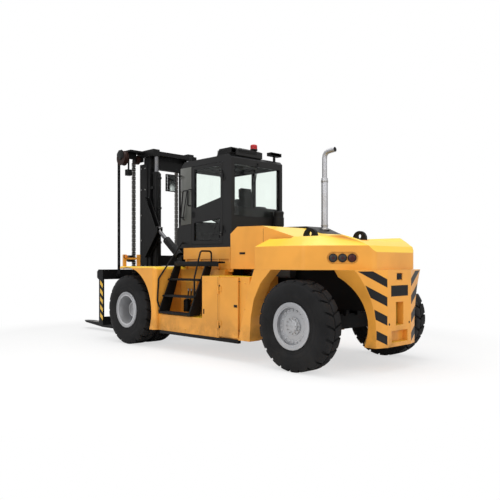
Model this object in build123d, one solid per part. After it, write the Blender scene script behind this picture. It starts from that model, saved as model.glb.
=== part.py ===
from build123d import *
import math
import os

# Heavy counterbalance forklift truck, built from the front axle backwards, millimetres.
# X runs forward, Y to the left and Z up; the front axle is X = 0 until export shifts it.

# Whole truck
WHEELBASE = 4800
HALF_WIDTH = 1500
FORK_REACH = 3650
REAR_OVERHANG = 1090
STEER_X = -WHEELBASE
REAR_X = STEER_X - REAR_OVERHANG
ORIGIN_SHIFT = (-REAR_X - FORK_REACH) / 2
RUN_CLEAR = 0.05
SLIDE_CLEAR = 10
ROD_CLEAR = 0.3

# Wheels
TYRE_RADIUS = 750
TYRE_WIDTH = 415
TREAD_HALF = 165
BULGE_RADIUS = 600
LUG_COUNT = 22
LUG_SPAN = 12
LUG_HEIGHT = 36
TYRE_BORE = 330
BEAD_HALF = 178
FLANGE_RADIUS = 388
FLANGE_THICK = 20
TWIN_GAP = 50
RIM_WALL = 26
OUTER_TYRE_Y = HALF_WIDTH - TYRE_WIDTH / 2
INNER_TYRE_Y = OUTER_TYRE_Y - TYRE_WIDTH - TWIN_GAP
TYRE_INSIDE_Y = INNER_TYRE_Y - TYRE_WIDTH / 2
DRIVE_SPINDLE_R = 120
DRIVE_HUB_R = 185
STEER_SPINDLE_R = 80
STEER_HUB_R = 150

# Axles
AXLE_TUBE_R = 165
AXLE_PAD_Z = 930
DRIVE_FLANGE_Y = TYRE_INSIDE_Y - 60
KINGPIN_Y = OUTER_TYRE_Y - 342.5
KINGPIN_R = 48
KNUCKLE_HALF_H = 110
AXLE_LUG_T = 60
SWING_CLEAR = 35
SWING_R = math.hypot(OUTER_TYRE_Y + TREAD_HALF - KINGPIN_Y, TYRE_RADIUS) + SWING_CLEAR

# Mast
MAST_TYRE_GAP = 40
PIVOT_X = 300
PIVOT_Z = 600
PIVOT_R = 55
MAST_BACK = 400
MAST_FRONT = 640
MAST_OUT_Y = TYRE_INSIDE_Y - MAST_TYRE_GAP
MAST_IN_Y = MAST_OUT_Y - 125
MAST_LOW = 330
MAST_TOP = 4250
RAIL_T = 30
GUARD_T = 20
GUARD_FRONT = 780
INNER_OUT_Y = MAST_OUT_Y - RAIL_T - SLIDE_CLEAR
INNER_IN_Y = MAST_IN_Y - 35
INNER_T = 25
INNER_LOW = 380
ROLLER_CLEAR = 5
ROLLER_AXLE_R = 30
ROLLER_R = (MAST_FRONT - MAST_BACK) / 2 - RAIL_T - SLIDE_CLEAR - INNER_T - ROLLER_CLEAR
HEAD_LOW = MAST_TOP + 12
HEAD_TOP = HEAD_LOW + 158
LIFT_X = 310
LIFT_Y = MAST_OUT_Y - 115
LIFT_BARREL_R = 80
LIFT_BORE_R = 66
LIFT_ROD_R = 56
LIFT_LOW = 800
LIFT_BARREL_TOP = MAST_TOP - 350
LIFT_STROKE = 2000
ROD_GRIP = 700
CHAIN_X = 985
CHAIN_W = 90
CHAIN_T = 45
CHAIN_WAIST = 9
CHAIN_PITCH = 130
CHAIN_LOW = 1520
CHAIN_Y = MAST_OUT_Y + 15 + CHAIN_W / 2
SHEAVE_R = 105
SHEAVE_Z = MAST_TOP - 25
HOSE_Y = HALF_WIDTH - 460
HOSE_X = 1000
HOSE_R = 12
HOSE_SHEAVE_R = 150

# Frame
FRAME_Y = MAST_OUT_Y - 150
FRAME_PLATE = 40
FRAME_TOP = 1500
FRAME_LOW = 600
FRAME_REAR = STEER_X + 900
SPINE_HALF = 290
SPINE_LOW = 960
SPINE_REAR = REAR_X + 440
DECK_UNDER = 1660

# Body sides
SIDE_Y = HALF_WIDTH - 120
FENDER_Y = HALF_WIDTH - 20
FENDER_IN_Y = TYRE_INSIDE_Y + 20
FENDER_TOP = 1700
FENDER_FRONT = 260
FENDER_BACK = -1050
ARCH_RADIUS = 930
POST_X = 200
POST_H = 260
POST_HALF = 35
POST_Y = (HALF_WIDTH - 465, HALF_WIDTH - 100)
SILL_LOW = 390
SILL_TOP = 720
BOX_FRONT = -2450
BOX_BACK = STEER_X + 1100
BOX_TOP = 1525
BOX_IN_Y = FRAME_Y + 170
LEG_FRONT = BOX_BACK + (BOX_FRONT - BOX_BACK) * 0.2
LEG_T = 260
LID_FRONT = BOX_FRONT - (BOX_FRONT - BOX_BACK) * 0.384
LID_BACK = LEG_FRONT + 10
LID_T = 40
LID_HINGE_Z = (620, 1250)

# Carriage and forks
CARRIAGE_BACK = 1050
CARRIAGE_BEAM = 70
CARRIAGE_EDGE = 1220
CARRIAGE_FRONT = 1305
CARRIAGE_Y = HALF_WIDTH - 60
CARRIAGE_LOW = 330
CARRIAGE_TOP = 1620
BEAM_TOP_LOW = 1390
ARM_OUT_Y = INNER_IN_Y - 15
ARM_IN_Y = ARM_OUT_Y - 50
SHAFT_X = 1240
SHAFT_Z = 1500
SHAFT_R = 50
FORK_Y = 400
FORK_W = 250
FORK_T = 110
FORK_LOW = 100
FORK_EYE_R = 100
FORK_TIP = 190
FORK_TIP_HALF = 50

# Tilt cylinders
TILT_Y = MAST_OUT_Y + 65
TILT_EYE_X = -20
TILT_EYE_Z = 2530
TILT_FOOT_X = -900
TILT_FOOT_Z = 1860
TILT_BARREL_R = 88
TILT_ROD_R = 45
TILT_PIN_R = 34
TILT_EYE_R = 78
TILT_EYE_W = 70
EYE_PLAY = 16

# Cab
CAB_HALF = 740
CAB_FRONT = -960
CAB_BACK = -2580
CAB_FLOOR = 2090
CAB_ROOF = 3925
CAB_WALL = 60
HATCH_H = 60
DOOR_FRONT = -1345
DOOR_BACK = -2330
DOOR_LOW = 2150
DOOR_TOP = 3800
DOOR_GAP = 8
DOOR_HINGE_Z = (2430, 3480)
GLASS_T = 10
PLINTH_LOW = 1850
UNIT_TOP = CAB_ROOF + 175
MIRROR_X = CAB_FRONT + 260
MIRROR_Y = CAB_HALF + 70

# Hinges of door and lid
HINGE_R = 15
HINGE_PIN_R = 9
HINGE_H = 90
HINGE_OFF = 20

# Stairs and rails
STAIR_FRONT = -1170
STAIR_BACK = -2160
STAIR_Y = HALF_WIDTH - 50
RECESS_Y = CAB_HALF + 60
STAIR_RUN = STAIR_Y - RECESS_Y
RAIL_R = 17

# Counterweight
CW_FRONT = STEER_X + 380
CW_SIDE_BEND = REAR_X + 940
CW_CORNER_X = REAR_X + 80
CW_CORNER_Y = 600
CW_BEND_R = 150
CW_LOW = 1660
CW_EDGE = 2055
CW_REAR_EDGE = 1950
CW_TOP = 2225
CREST_X = REAR_X + 470
CREST_Y = 1000
CREST_REAR_Y = 860
TROUGH_Y = 620
TROUGH_Z = 2140
WING_FRONT = STEER_X + 930
WING_IN_Y = 985
LOW_HALF = 356
LOW_FRONT = REAR_X + 590
LOW_RAKE = 0.296
LOW_LEG_Y = 590
LOW_WIDE_Y = 1000
LOW_BOTTOM = 400
LOW_KNEE_Z = 800
LUG_X = CW_FRONT - 165
LUG_Y = 730
LUG_R = 145
LUG_T = 60
LUG_EYE_R = 45
LUG_BASE = CW_TOP - 20
LUG_EYE_Z = LUG_BASE + 75
LAMP_R = 70
LAMP_STEP = 152
LAMP_T = 26
LAMP_RECESS = 20
LAMP_Z = 1855
LAMP_SHIFT = 64

# Hood
HOOD_HALF = 950
HOOD_FRONT = -2780
HOOD_BACK = CW_FRONT + 20
HOOD_LENGTH = HOOD_FRONT - HOOD_BACK
HOOD_BROW = HOOD_FRONT - HOOD_LENGTH * 0.117
HOOD_KNEE = HOOD_FRONT - HOOD_LENGTH * 0.531
HOOD_LOW = DECK_UNDER
HOOD_WALL = 30
LOUVRE_FRONT = HOOD_FRONT - HOOD_LENGTH * 0.173
LOUVRE_BACK = HOOD_BACK + HOOD_LENGTH * 0.216
LOUVRE_COUNT = 9
EXHAUST_X = HOOD_KNEE - 110
EXHAUST_Y = -710


def block(x, y, z):
    """Box between two corner values on each axis."""
    centre = Pos((x[0] + x[1]) / 2, (y[0] + y[1]) / 2, (z[0] + z[1]) / 2)
    return centre * Box(abs(x[1] - x[0]), abs(y[1] - y[0]), abs(z[1] - z[0]))


def side_prism(points, y):
    """Side view polygon of (x, z) points, extruded between two Y values."""
    face = make_face(Polyline(*points, close=True))
    return Pos(0, y[1], 0) * Rot(90, 0, 0) * extrude(face, y[1] - y[0])


def plan_prism(points, z):
    """Plan view polygon of (x, y) points, extruded between two Z values."""
    return Pos(0, 0, z[0]) * extrude(make_face(Polyline(*points, close=True)), z[1] - z[0])


def front_prism(points, x):
    """Front view polygon of (y, z) points, extruded between two X values."""
    face = Plane.YZ * make_face(Polyline(*points, close=True))
    return Pos(x[0], 0, 0) * extrude(face, x[1] - x[0], dir=(1, 0, 0))


def bar_y(x, z, radius, y):
    """Round bar along Y."""
    return Pos(x, (y[0] + y[1]) / 2, z) * Rot(90, 0, 0) * Cylinder(radius, abs(y[1] - y[0]))


def bar_z(x, y, radius, z):
    """Round bar along Z."""
    return Pos(x, y, (z[0] + z[1]) / 2) * Cylinder(radius, z[1] - z[0])


def bar_between(start, end, radius):
    """Round bar between two points."""
    a = Vector(*start)
    b = Vector(*end)
    plane = Plane(origin=(a + b) / 2, z_dir=b - a)
    return plane * Cylinder(radius, (b - a).length)


def tube(points, radius, bend):
    """Bent round rail through a row of points."""
    path = FilletPolyline(*points, radius=bend)
    section = Plane(origin=path @ 0, z_dir=path % 0) * Circle(radius)
    return sweep(section, path=path)


def both(shape):
    """A shape with its mirror image across the truck."""
    return shape + mirror(shape, about=Plane.XZ)


def other(shape):
    """The mirror image across the truck."""
    return mirror(shape, about=Plane.XZ)


def turned(points, x, y, z):
    """Section of (offset along Y, radius) points turned about an axis along Y."""
    face = make_face(Polyline(*points, close=True))
    return Pos(x, y, z) * Rot(0, 0, 90) * revolve(face, Axis.X)


def hinge_fixed(x, face_y, z, side):
    """Fixed half of a hinge: pin, its foot and a leaf towards side along X."""
    y = face_y + HINGE_OFF
    shape = bar_z(x, y, HINGE_R, (z - 50, z))
    shape += bar_z(x, y, HINGE_PIN_R, (z - 10, z + HINGE_H))
    return shape + block((x, x + side * 70), (face_y, face_y + 12), (z - 50, z - 2))


def hinge_moving(x, face_y, z, side):
    """Moving half of a hinge: sleeve on the pin and a leaf towards side along X."""
    y = face_y + HINGE_OFF
    low = z + ROD_CLEAR
    shape = bar_z(x, y, HINGE_R, (low, z + HINGE_H))
    shape += block((x, x + side * 70), (face_y, face_y + 12), (low, z + HINGE_H))
    return shape - bar_z(x, y, HINGE_PIN_R + RUN_CLEAR, (z - 10, z + HINGE_H + 10))


def save(shape, name):
    """Write one node, moved so that the truck's middle is the origin."""
    export_step(Pos(ORIGIN_SHIFT, 0, 0) * shape, f"parts/{name}.step")


def tyre(x, y):
    """One tyre of flat faces: both sides, the bore and a ring of cross lugs round the tread."""
    crown = TYRE_RADIUS / math.cos(math.radians(LUG_SPAN / 2))
    bore = TYRE_BORE / math.cos(math.radians(LUG_SPAN / 2))
    # Rows of the side's section: offset along Y, radius.
    side = [(BEAD_HALF, bore), (BEAD_HALF, FLANGE_RADIUS + 10), (TYRE_WIDTH / 2, BULGE_RADIUS)]
    lug = (TREAD_HALF, crown)
    groove = (TREAD_HALF, crown - LUG_HEIGHT)
    pitch = 360 / LUG_COUNT

    def point(angle, row, sign):
        turn = math.radians(angle)
        return Vector(x + row[1] * math.cos(turn), y + sign * row[0], TYRE_RADIUS + row[1] * math.sin(turn))

    faces = []
    for count in range(LUG_COUNT):
        lug_start = count * pitch - 90 - LUG_SPAN / 2
        lug_end = lug_start + LUG_SPAN
        for start, end, edge in ((lug_start, lug_end, lug), (lug_end, lug_start + pitch, groove)):
            rows = [*side, edge]
            for sign in (1, -1):
                for low, high in zip(rows, rows[1:]):
                    faces.append([point(start, low, sign), point(end, low, sign), point(end, high, sign),
                                  point(start, high, sign)])
            for row in (rows[0], edge):
                faces.append([point(start, row, 1), point(end, row, 1), point(end, row, -1),
                              point(start, row, -1)])
        for angle in (lug_start, lug_end):
            faces.append([point(angle, side[-1], 1), point(angle, lug, 1), point(angle, lug, -1),
                          point(angle, side[-1], -1), point(angle, groove, -1), point(angle, groove, 1)])
    return Solid(Shell([make_face(Polyline(*corners, close=True)).face() for corners in faces]))


def rim_barrel():
    """Section of a rim's barrel with both flanges."""
    outer = BEAD_HALF + FLANGE_THICK
    inner_r = TYRE_BORE - RIM_WALL
    return [
        (-outer, inner_r),
        (outer, inner_r),
        (outer, FLANGE_RADIUS),
        (BEAD_HALF, FLANGE_RADIUS),
        (BEAD_HALF, TYRE_BORE),
        (-BEAD_HALF, TYRE_BORE),
        (-BEAD_HALF, FLANGE_RADIUS),
        (-outer, FLANGE_RADIUS),
    ]


def disc(y_from, y_to, r_from, r_to):
    """Section of a flat ring."""
    return [(y_from, r_from), (y_to, r_from), (y_to, r_to), (y_from, r_to)]


def drive_rims():
    """Both rims of the left twin wheel with the deep hub between them."""
    barrel_r = TYRE_BORE - RIM_WALL
    out = OUTER_TYRE_Y
    rings = []
    for y in (INNER_TYRE_Y, OUTER_TYRE_Y):
        rings.append(turned(rim_barrel(), 0, y, TYRE_RADIUS))
    bore = DRIVE_SPINDLE_R + RUN_CLEAR
    rows = [
        (INNER_TYRE_Y + 120, out - 140, bore, barrel_r),
        (out - 190, out - 20, bore, DRIVE_HUB_R),
        (out - 20, out + 20, 0, DRIVE_HUB_R - 25),
        (INNER_TYRE_Y - 150, INNER_TYRE_Y + 130, bore, DRIVE_HUB_R),
    ]
    shape = rings[0] + rings[1]
    for y_from, y_to, r_from, r_to in rows:
        shape += turned(disc(y_from, y_to, r_from, r_to), 0, 0, TYRE_RADIUS)
    return shape


def steer_rim():
    """Left steered rim: flat disc well out, with hub ring."""
    barrel_r = TYRE_BORE - RIM_WALL
    bore = STEER_SPINDLE_R + RUN_CLEAR
    shape = turned(rim_barrel(), STEER_X, OUTER_TYRE_Y, TYRE_RADIUS)
    rows = [
        (90, 130, bore, barrel_r),
        (-60, 150, bore, STEER_HUB_R),
        (125, 165, 0, STEER_HUB_R - 45),
    ]
    for y_from, y_to, r_from, r_to in rows:
        shape += turned(disc(y_from, y_to, r_from, r_to), STEER_X, OUTER_TYRE_Y, TYRE_RADIUS)
    return shape


def drive_axle():
    """Axle housing with its bowl, frame pads, spindles and the noses with the mast's pins."""
    spindle_end = OUTER_TYRE_Y - 30
    shape = bar_y(0, TYRE_RADIUS, AXLE_TUBE_R, (-DRIVE_FLANGE_Y, DRIVE_FLANGE_Y))
    shape += bar_y(0, TYRE_RADIUS, 255, (-210, 210))
    shape += bar_y(0, TYRE_RADIUS, DRIVE_SPINDLE_R, (-spindle_end, spindle_end))
    pad = block((-120, 120), (FRAME_Y - 10, FRAME_Y + FRAME_PLATE + 10), (TYRE_RADIUS, AXLE_PAD_Z))
    nose = side_prism([
        (0, PIVOT_Z - 20), (PIVOT_X, PIVOT_Z - 70), (PIVOT_X + 70, PIVOT_Z - 30), (PIVOT_X + 70, PIVOT_Z + 30),
        (PIVOT_X, PIVOT_Z + 70), (140, TYRE_RADIUS - 10), (0, TYRE_RADIUS + 60),
    ], (FRAME_Y, FRAME_Y + FRAME_PLATE))
    pin = bar_y(PIVOT_X, PIVOT_Z, PIVOT_R, (FRAME_Y, MAST_OUT_Y - 15))
    return shape + both(pad + nose + pin)


def steer_axle():
    """Steer axle beam with forked ends for the knuckles, its pivot pads and steering cylinder."""
    z = TYRE_RADIUS
    beam = block((STEER_X - 120, STEER_X + 120), (-KINGPIN_Y + 150, KINGPIN_Y - 150), (z - 130, z + 130))
    lugs = []
    for low in (z - KNUCKLE_HALF_H - 8 - AXLE_LUG_T, z + KNUCKLE_HALF_H + 8):
        lug = block((STEER_X - 95, STEER_X + 95), (KINGPIN_Y - 160, KINGPIN_Y), (low, low + AXLE_LUG_T))
        lug += bar_z(STEER_X, KINGPIN_Y, 95, (low, low + AXLE_LUG_T))
        lug -= bar_z(STEER_X, KINGPIN_Y, KINGPIN_R + RUN_CLEAR, (low, low + AXLE_LUG_T))
        lugs.append(lug)
    root = block((STEER_X - 95, STEER_X + 95), (KINGPIN_Y - 170, KINGPIN_Y - 140),
                 (z - KNUCKLE_HALF_H - 8 - AXLE_LUG_T, z + KNUCKLE_HALF_H + 8 + AXLE_LUG_T))
    ends = both(lugs[0] + lugs[1] + root)
    pads = both(block((STEER_X - 160, STEER_X + 160), (120, 220), (z + 100, SPINE_LOW)))
    cylinder = bar_y(STEER_X + 190, z, 75, (-420, 420))
    cylinder += both(block((STEER_X + 100, STEER_X + 200), (340, 400), (z - 60, z + 60)))
    cylinder += bar_y(STEER_X + 190, z, 38, (-640, 640))
    return beam + ends + pads + cylinder


def knuckle():
    """Left knuckle: block with king pin, steering arm and wheel spindle."""
    z = TYRE_RADIUS
    reach = AXLE_LUG_T + 8
    shape = block((STEER_X - 85, STEER_X + 85), (KINGPIN_Y - 85, KINGPIN_Y + 130),
                  (z - KNUCKLE_HALF_H, z + KNUCKLE_HALF_H))
    shape += bar_z(STEER_X, KINGPIN_Y, KINGPIN_R, (z - KNUCKLE_HALF_H - reach, z + KNUCKLE_HALF_H + reach))
    shape += bar_y(STEER_X, z, STEER_SPINDLE_R, (KINGPIN_Y + 100, OUTER_TYRE_Y + 110))
    return shape


def main_frame():
    """Two tall side plates, cross plates, rear spine and the stands of cab and tilt cylinders."""
    plate = side_prism([
        (FRAME_REAR, FRAME_LOW + 200), (FRAME_REAR + 600, FRAME_LOW), (-260, FRAME_LOW), (-260, AXLE_PAD_Z),
        (130, AXLE_PAD_Z), (0, FRAME_TOP), (FRAME_REAR, FRAME_TOP),
    ], (FRAME_Y, FRAME_Y + FRAME_PLATE))
    shape = both(plate)
    inside = FRAME_Y + 5
    rows = [
        ((-60, -20), (1050, FRAME_TOP)),
        ((-1250, -1190), (FRAME_LOW, FRAME_TOP)),
        ((-2600, -2540), (FRAME_LOW, FRAME_TOP)),
        ((FRAME_REAR, FRAME_REAR + 60), (FRAME_LOW + 250, FRAME_TOP)),
    ]
    for x, z in rows:
        shape += block(x, (-inside, inside), z)
    shape += block((SPINE_REAR, FRAME_REAR + 30), (-SPINE_HALF, SPINE_HALF), (SPINE_LOW, DECK_UNDER))
    for x in (-1250, -2300, BOX_BACK + 140):
        shape += block((x, x + 80), (-BOX_IN_Y, BOX_IN_Y), (FRAME_LOW + 60, FRAME_LOW + 140))
    shape += both(block((FENDER_BACK + 20, FENDER_BACK + 120), (FRAME_Y, FENDER_IN_Y), (1300, 1400)))
    for x in (-1500, -2500):
        shape += both(block((x, x + 200), (FRAME_Y - 60, BOX_IN_Y), (FRAME_TOP - 60, PLINTH_LOW)))
    return shape + tilt_brackets()


def tilt_brackets():
    """Forked stands that hold the feet of the tilt cylinders."""
    gap = TILT_EYE_W / 2 + 6
    x = (TILT_FOOT_X - 110, TILT_FOOT_X + 150)
    shape = block(x, (FRAME_Y, FENDER_IN_Y), (FRAME_TOP - 20, FENDER_TOP))
    shape += block(x, (FRAME_Y, TILT_Y + gap + 30), (FENDER_TOP, FENDER_TOP + 25))
    for low in (TILT_Y - gap - 30, TILT_Y + gap):
        shape += side_prism([
            (x[0], FENDER_TOP + 20), (x[1], FENDER_TOP + 20),
            (TILT_FOOT_X + 60, TILT_FOOT_Z + 30), (TILT_FOOT_X - 60, TILT_FOOT_Z + 50),
        ], (low, low + 30))
    shape += bar_y(TILT_FOOT_X, TILT_FOOT_Z, TILT_PIN_R, (TILT_Y - gap - 30, TILT_Y + gap + 30))
    return both(shape)


def fender():
    """Left front fender with its round arch and softened top edge."""
    body = block((FENDER_BACK, FENDER_FRONT), (FENDER_IN_Y, FENDER_Y), (SILL_LOW, FENDER_TOP))
    top_edges = body.edges().filter_by(Axis.X).sort_by(Axis.Y)[-2:].sort_by(Axis.Z)[-1:]
    body = fillet(top_edges, 45)
    back_edges = body.edges().filter_by(Axis.Y).group_by(Axis.Z)[-1].sort_by(Axis.X)[:1]
    body = fillet(back_edges, 90)
    body -= bar_y(0, TYRE_RADIUS, ARCH_RADIUS, (FENDER_IN_Y - 50, FENDER_Y + 50))
    body -= block((FENDER_BACK + 190, FENDER_FRONT + 100), (FENDER_IN_Y - 50, FENDER_Y + 50), (0, TYRE_RADIUS))
    return body


def lamp_posts():
    """Two posts on the left fender's front end and the strap between them that holds the head lamp."""
    strap_z = FENDER_TOP + POST_H - 110
    shape = block((POST_X - 25, POST_X - 10), POST_Y, (strap_z, strap_z + 40))
    for y in POST_Y:
        shape += block((POST_X - 25, POST_X + 25), (y - POST_HALF, y + POST_HALF),
                       (FENDER_TOP - 20, FENDER_TOP + POST_H))
    return shape


def side_panel():
    """Left sill below the stairs, the recessed wall behind them and the rear arch leg."""
    shape = block((BOX_FRONT, FENDER_BACK), (BOX_IN_Y, SIDE_Y), (SILL_LOW, SILL_TOP))
    shape += block((BOX_FRONT, FENDER_BACK), (BOX_IN_Y, RECESS_Y), (SILL_TOP, 1640))
    # Rows of the arch: distance ahead of the steer axle, height.
    rows = [(1060, SILL_LOW), (1030, 830), (960, 1130), (790, 1430), (550, CW_LOW)]
    arch = [(STEER_X + ahead, z) for ahead, z in rows]
    outline = [(LEG_FRONT, SILL_LOW), *arch, (WING_FRONT + 20, CW_LOW), (BOX_BACK, 1300)]
    leg = side_prism(outline, (SIDE_Y - LEG_T, SIDE_Y))
    leg -= block((BOX_BACK, BOX_FRONT), (BOX_IN_Y, SIDE_Y - LID_T), (SILL_LOW, BOX_TOP))
    return shape + leg


def side_box():
    """Left locker box, with the shallow seat of its lid."""
    shape = block((BOX_BACK, BOX_FRONT), (BOX_IN_Y, SIDE_Y - LID_T), (SILL_LOW, BOX_TOP))
    shape += block((LID_FRONT, BOX_FRONT), (SIDE_Y - LID_T, SIDE_Y), (SILL_LOW, BOX_TOP))
    for z in LID_HINGE_Z:
        shape += hinge_fixed(LID_FRONT, SIDE_Y, z, 1)
    return shape


def box_lid():
    """Hinged lid over the side of the left box."""
    x = (LID_BACK, LID_FRONT - DOOR_GAP)
    shape = block(x, (SIDE_Y - LID_T + DOOR_GAP, SIDE_Y), (SILL_LOW + 30, BOX_TOP - 20))
    for z in LID_HINGE_Z:
        shape += hinge_moving(LID_FRONT, SIDE_Y, z, -1)
    return shape


def right_tank():
    """Right oil tank beside the box, closing the recess of that side."""
    shape = other(block((BOX_BACK, BOX_FRONT), (BOX_IN_Y, SIDE_Y - LID_T), (SILL_LOW, BOX_TOP)))
    shape += other(block((LEG_FRONT + 30, BOX_FRONT), (SIDE_Y - LID_T, SIDE_Y), (SILL_LOW, BOX_TOP)))
    shape += other(block((BOX_FRONT, FENDER_BACK - 20), (RECESS_Y, SIDE_Y - 30), (SILL_TOP, BOX_TOP)))
    return shape


def casting_face(rows, z, radius):
    """Level outline of the casting, from (x, half width) rows, with its bends rounded."""
    face = make_face(Polyline(*rows, *[(x, -y) for x, y in reversed(rows)], close=True))
    return Pos(0, 0, z) * fillet(face.vertices().sort_by(Axis.X)[:-2], radius)


def lamp_plane(step):
    """Plane on the left raked face, step millimetres to the rear of the lamps' middle."""
    along = Vector(CW_CORNER_X - CW_SIDE_BEND, CW_CORNER_Y - SIDE_Y, 0).normalized()
    middle = Vector((CW_SIDE_BEND + CW_CORNER_X) / 2, (SIDE_Y + CW_CORNER_Y) / 2, LAMP_Z)
    return Plane(origin=middle + along * (LAMP_SHIFT + step), x_dir=along, z_dir=Vector(along.Y, -along.X, 0))


def upper_casting():
    """Band with raked lamp faces, bevelled shoulders, sloped rear, trough and the side wings."""
    band = [(CW_FRONT, SIDE_Y), (CW_SIDE_BEND, SIDE_Y), (CW_CORNER_X, CW_CORNER_Y)]
    crest = [(CW_FRONT, CREST_Y), (CW_SIDE_BEND + 150, CREST_Y), (CREST_X, CREST_REAR_Y)]
    edge_face = casting_face(band, CW_EDGE, CW_BEND_R)
    shape = extrude(casting_face(band, CW_LOW, CW_BEND_R), CW_EDGE - CW_LOW)
    shape += loft([edge_face, casting_face(crest, CW_TOP, CW_BEND_R)], ruled=True)
    shape -= side_prism([
        (REAR_X, CW_REAR_EDGE - 100), (CW_CORNER_X, CW_REAR_EDGE), (CW_CORNER_X + 75, CW_EDGE),
        (CREST_X, CW_TOP), (CREST_X, CW_TOP + 100), (REAR_X, CW_TOP + 100),
    ], (-HALF_WIDTH, HALF_WIDTH))
    lip = CREST_REAR_Y - 20
    shape -= front_prism([
        (-lip, CW_TOP + 1), (-TROUGH_Y, TROUGH_Z), (TROUGH_Y, TROUGH_Z), (lip, CW_TOP + 1),
    ], (REAR_X, CW_FRONT + 1))
    wing = front_prism([
        (WING_IN_Y, CW_LOW), (SIDE_Y, CW_LOW), (SIDE_Y, CW_EDGE), (CREST_Y + 10, CW_TOP - 25),
        (WING_IN_Y, CW_TOP - 25),
    ], (CW_FRONT - 20, WING_FRONT))
    pad_half = LUG_R + 15
    pad = block((LUG_X - pad_half, LUG_X + pad_half), (LUG_Y - LUG_T, LUG_Y + LUG_T),
                (TROUGH_Z - 20, LUG_BASE))
    recess = extrude(lamp_plane(0) * SlotOverall(LAMP_STEP * 2 + 192, 190), LAMP_RECESS, both=True)
    return shape + both(wing + pad) - both(recess)


def lower_casting():
    """Rear block below the band: flared to the top, cut for the steered wheels and the frame's spine."""
    foot = Polyline((0, LOW_BOTTOM), (LOW_LEG_Y, LOW_BOTTOM), (LOW_LEG_Y, LOW_KNEE_Z))
    flare = ThreePointArc((LOW_LEG_Y, LOW_KNEE_Z), (LOW_LEG_Y + 80, LOW_KNEE_Z + 330), (LOW_WIDE_Y, CW_LOW))
    cap = Polyline((LOW_WIDE_Y, CW_LOW), (0, CW_LOW), (0, LOW_BOTTOM))
    half = Plane.YZ * make_face((foot + flare + cap).edges())
    half = Pos(REAR_X, 0, 0) * extrude(half, LOW_FRONT - REAR_X, dir=(1, 0, 0))
    rake_x = REAR_X + (LOW_WIDE_Y - LOW_HALF) * LOW_RAKE
    shape = half & plan_prism([
        (LOW_FRONT, 0), (LOW_FRONT, LOW_WIDE_Y), (rake_x, LOW_WIDE_Y), (REAR_X, LOW_HALF), (REAR_X, 0),
    ], (LOW_BOTTOM, CW_LOW))
    shape -= Pos(STEER_X, KINGPIN_Y, TYRE_RADIUS) * Sphere(SWING_R)
    shape = both(shape)
    spine = SPINE_HALF + 1
    shape -= block((SPINE_REAR - 2, LOW_FRONT + 100), (-spine, spine), (LOW_BOTTOM - 1, CW_LOW + 1))
    # Rows of the rear face's openings: depth, half width, low edge, high edge.
    rows = [(45, 90, 1490, 1610), (120, 115, 750, 1130), (90, 245, 470, 660)]
    for depth, half_width, low, high in rows:
        shape -= block((REAR_X - 10, REAR_X + depth), (-half_width, half_width), (low, high))
    return shape


def lifting_lugs():
    """Half round lifting plates on the casting."""
    y = (LUG_Y - LUG_T / 2, LUG_Y + LUG_T / 2)
    plate = bar_y(LUG_X, LUG_BASE + 30, LUG_R, y)
    plate &= block((LUG_X - LUG_R, LUG_X + LUG_R), y, (LUG_BASE, LUG_BASE + 2 * LUG_R))
    plate -= bar_y(LUG_X, LUG_EYE_Z, LUG_EYE_R, (y[0] - 10, y[1] + 10))
    return both(plate)


def tail_lamps():
    """Three round lamps in the recess of each raked face."""
    shape = None
    for step in (-LAMP_STEP, 0, LAMP_STEP):
        lamp = lamp_plane(step) * Pos(0, 0, LAMP_T / 2 - LAMP_RECESS) * Cylinder(LAMP_R, LAMP_T)
        shape = lamp if shape is None else shape + lamp
    return both(shape)


def hood_outline():
    """Solid inside the hood's outer faces."""
    return side_prism([
        (HOOD_FRONT, HOOD_LOW), (HOOD_FRONT, 2330), (HOOD_BROW, 2460), (HOOD_KNEE, 2450), (HOOD_BACK, 2230),
        (HOOD_BACK, HOOD_LOW),
    ], (-HOOD_HALF, HOOD_HALF))


def hood():
    """Engine hood, hollow below, sloping to the back."""
    inner = [
        (HOOD_FRONT - HOOD_WALL, HOOD_LOW - 5), (HOOD_FRONT - HOOD_WALL, 2315), (HOOD_BROW - 10, 2430),
        (HOOD_KNEE, 2420), (HOOD_BACK + HOOD_WALL, 2203), (HOOD_BACK + HOOD_WALL, HOOD_LOW - 5),
    ]
    shape = hood_outline()
    shape -= side_prism(inner, (-HOOD_HALF + HOOD_WALL, HOOD_HALF - HOOD_WALL))
    return shape


def engine_block():
    """Plain mass of the engine and radiator on the frame."""
    return block((FRAME_REAR + 40, HOOD_FRONT - 70), (-450, 450), (FRAME_TOP, 2150))


def louvre_panel():
    """Dark intake panel on the right of the hood's top, with its row of slots."""
    points = [
        (LOUVRE_FRONT + 60, 2400), (LOUVRE_BACK, 2200), (LOUVRE_BACK, 2330), (HOOD_KNEE - 20, 2490),
        (LOUVRE_FRONT, 2500),
    ]
    shape = side_prism(points, (-900, -250)) - hood_outline()
    pitch = (LOUVRE_FRONT - HOOD_KNEE) / (LOUVRE_COUNT + 1)
    for count in range(LOUVRE_COUNT):
        x = HOOD_KNEE + pitch * (count + 0.5)
        shape -= block((x, x + pitch / 2), (-860, -290), (2475, 2520))
    return shape


def exhaust_stack():
    """Upright exhaust with collar and bent outlet."""
    shape = bar_z(EXHAUST_X, EXHAUST_Y, 66, (2430, 3470))
    shape += bar_z(EXHAUST_X, EXHAUST_Y, 50, (3470, 3900))
    shape += bar_between((EXHAUST_X, EXHAUST_Y, 3880), (EXHAUST_X - 90, EXHAUST_Y, 4030), 50)
    return shape - louvre_panel() - hood_outline()


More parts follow.
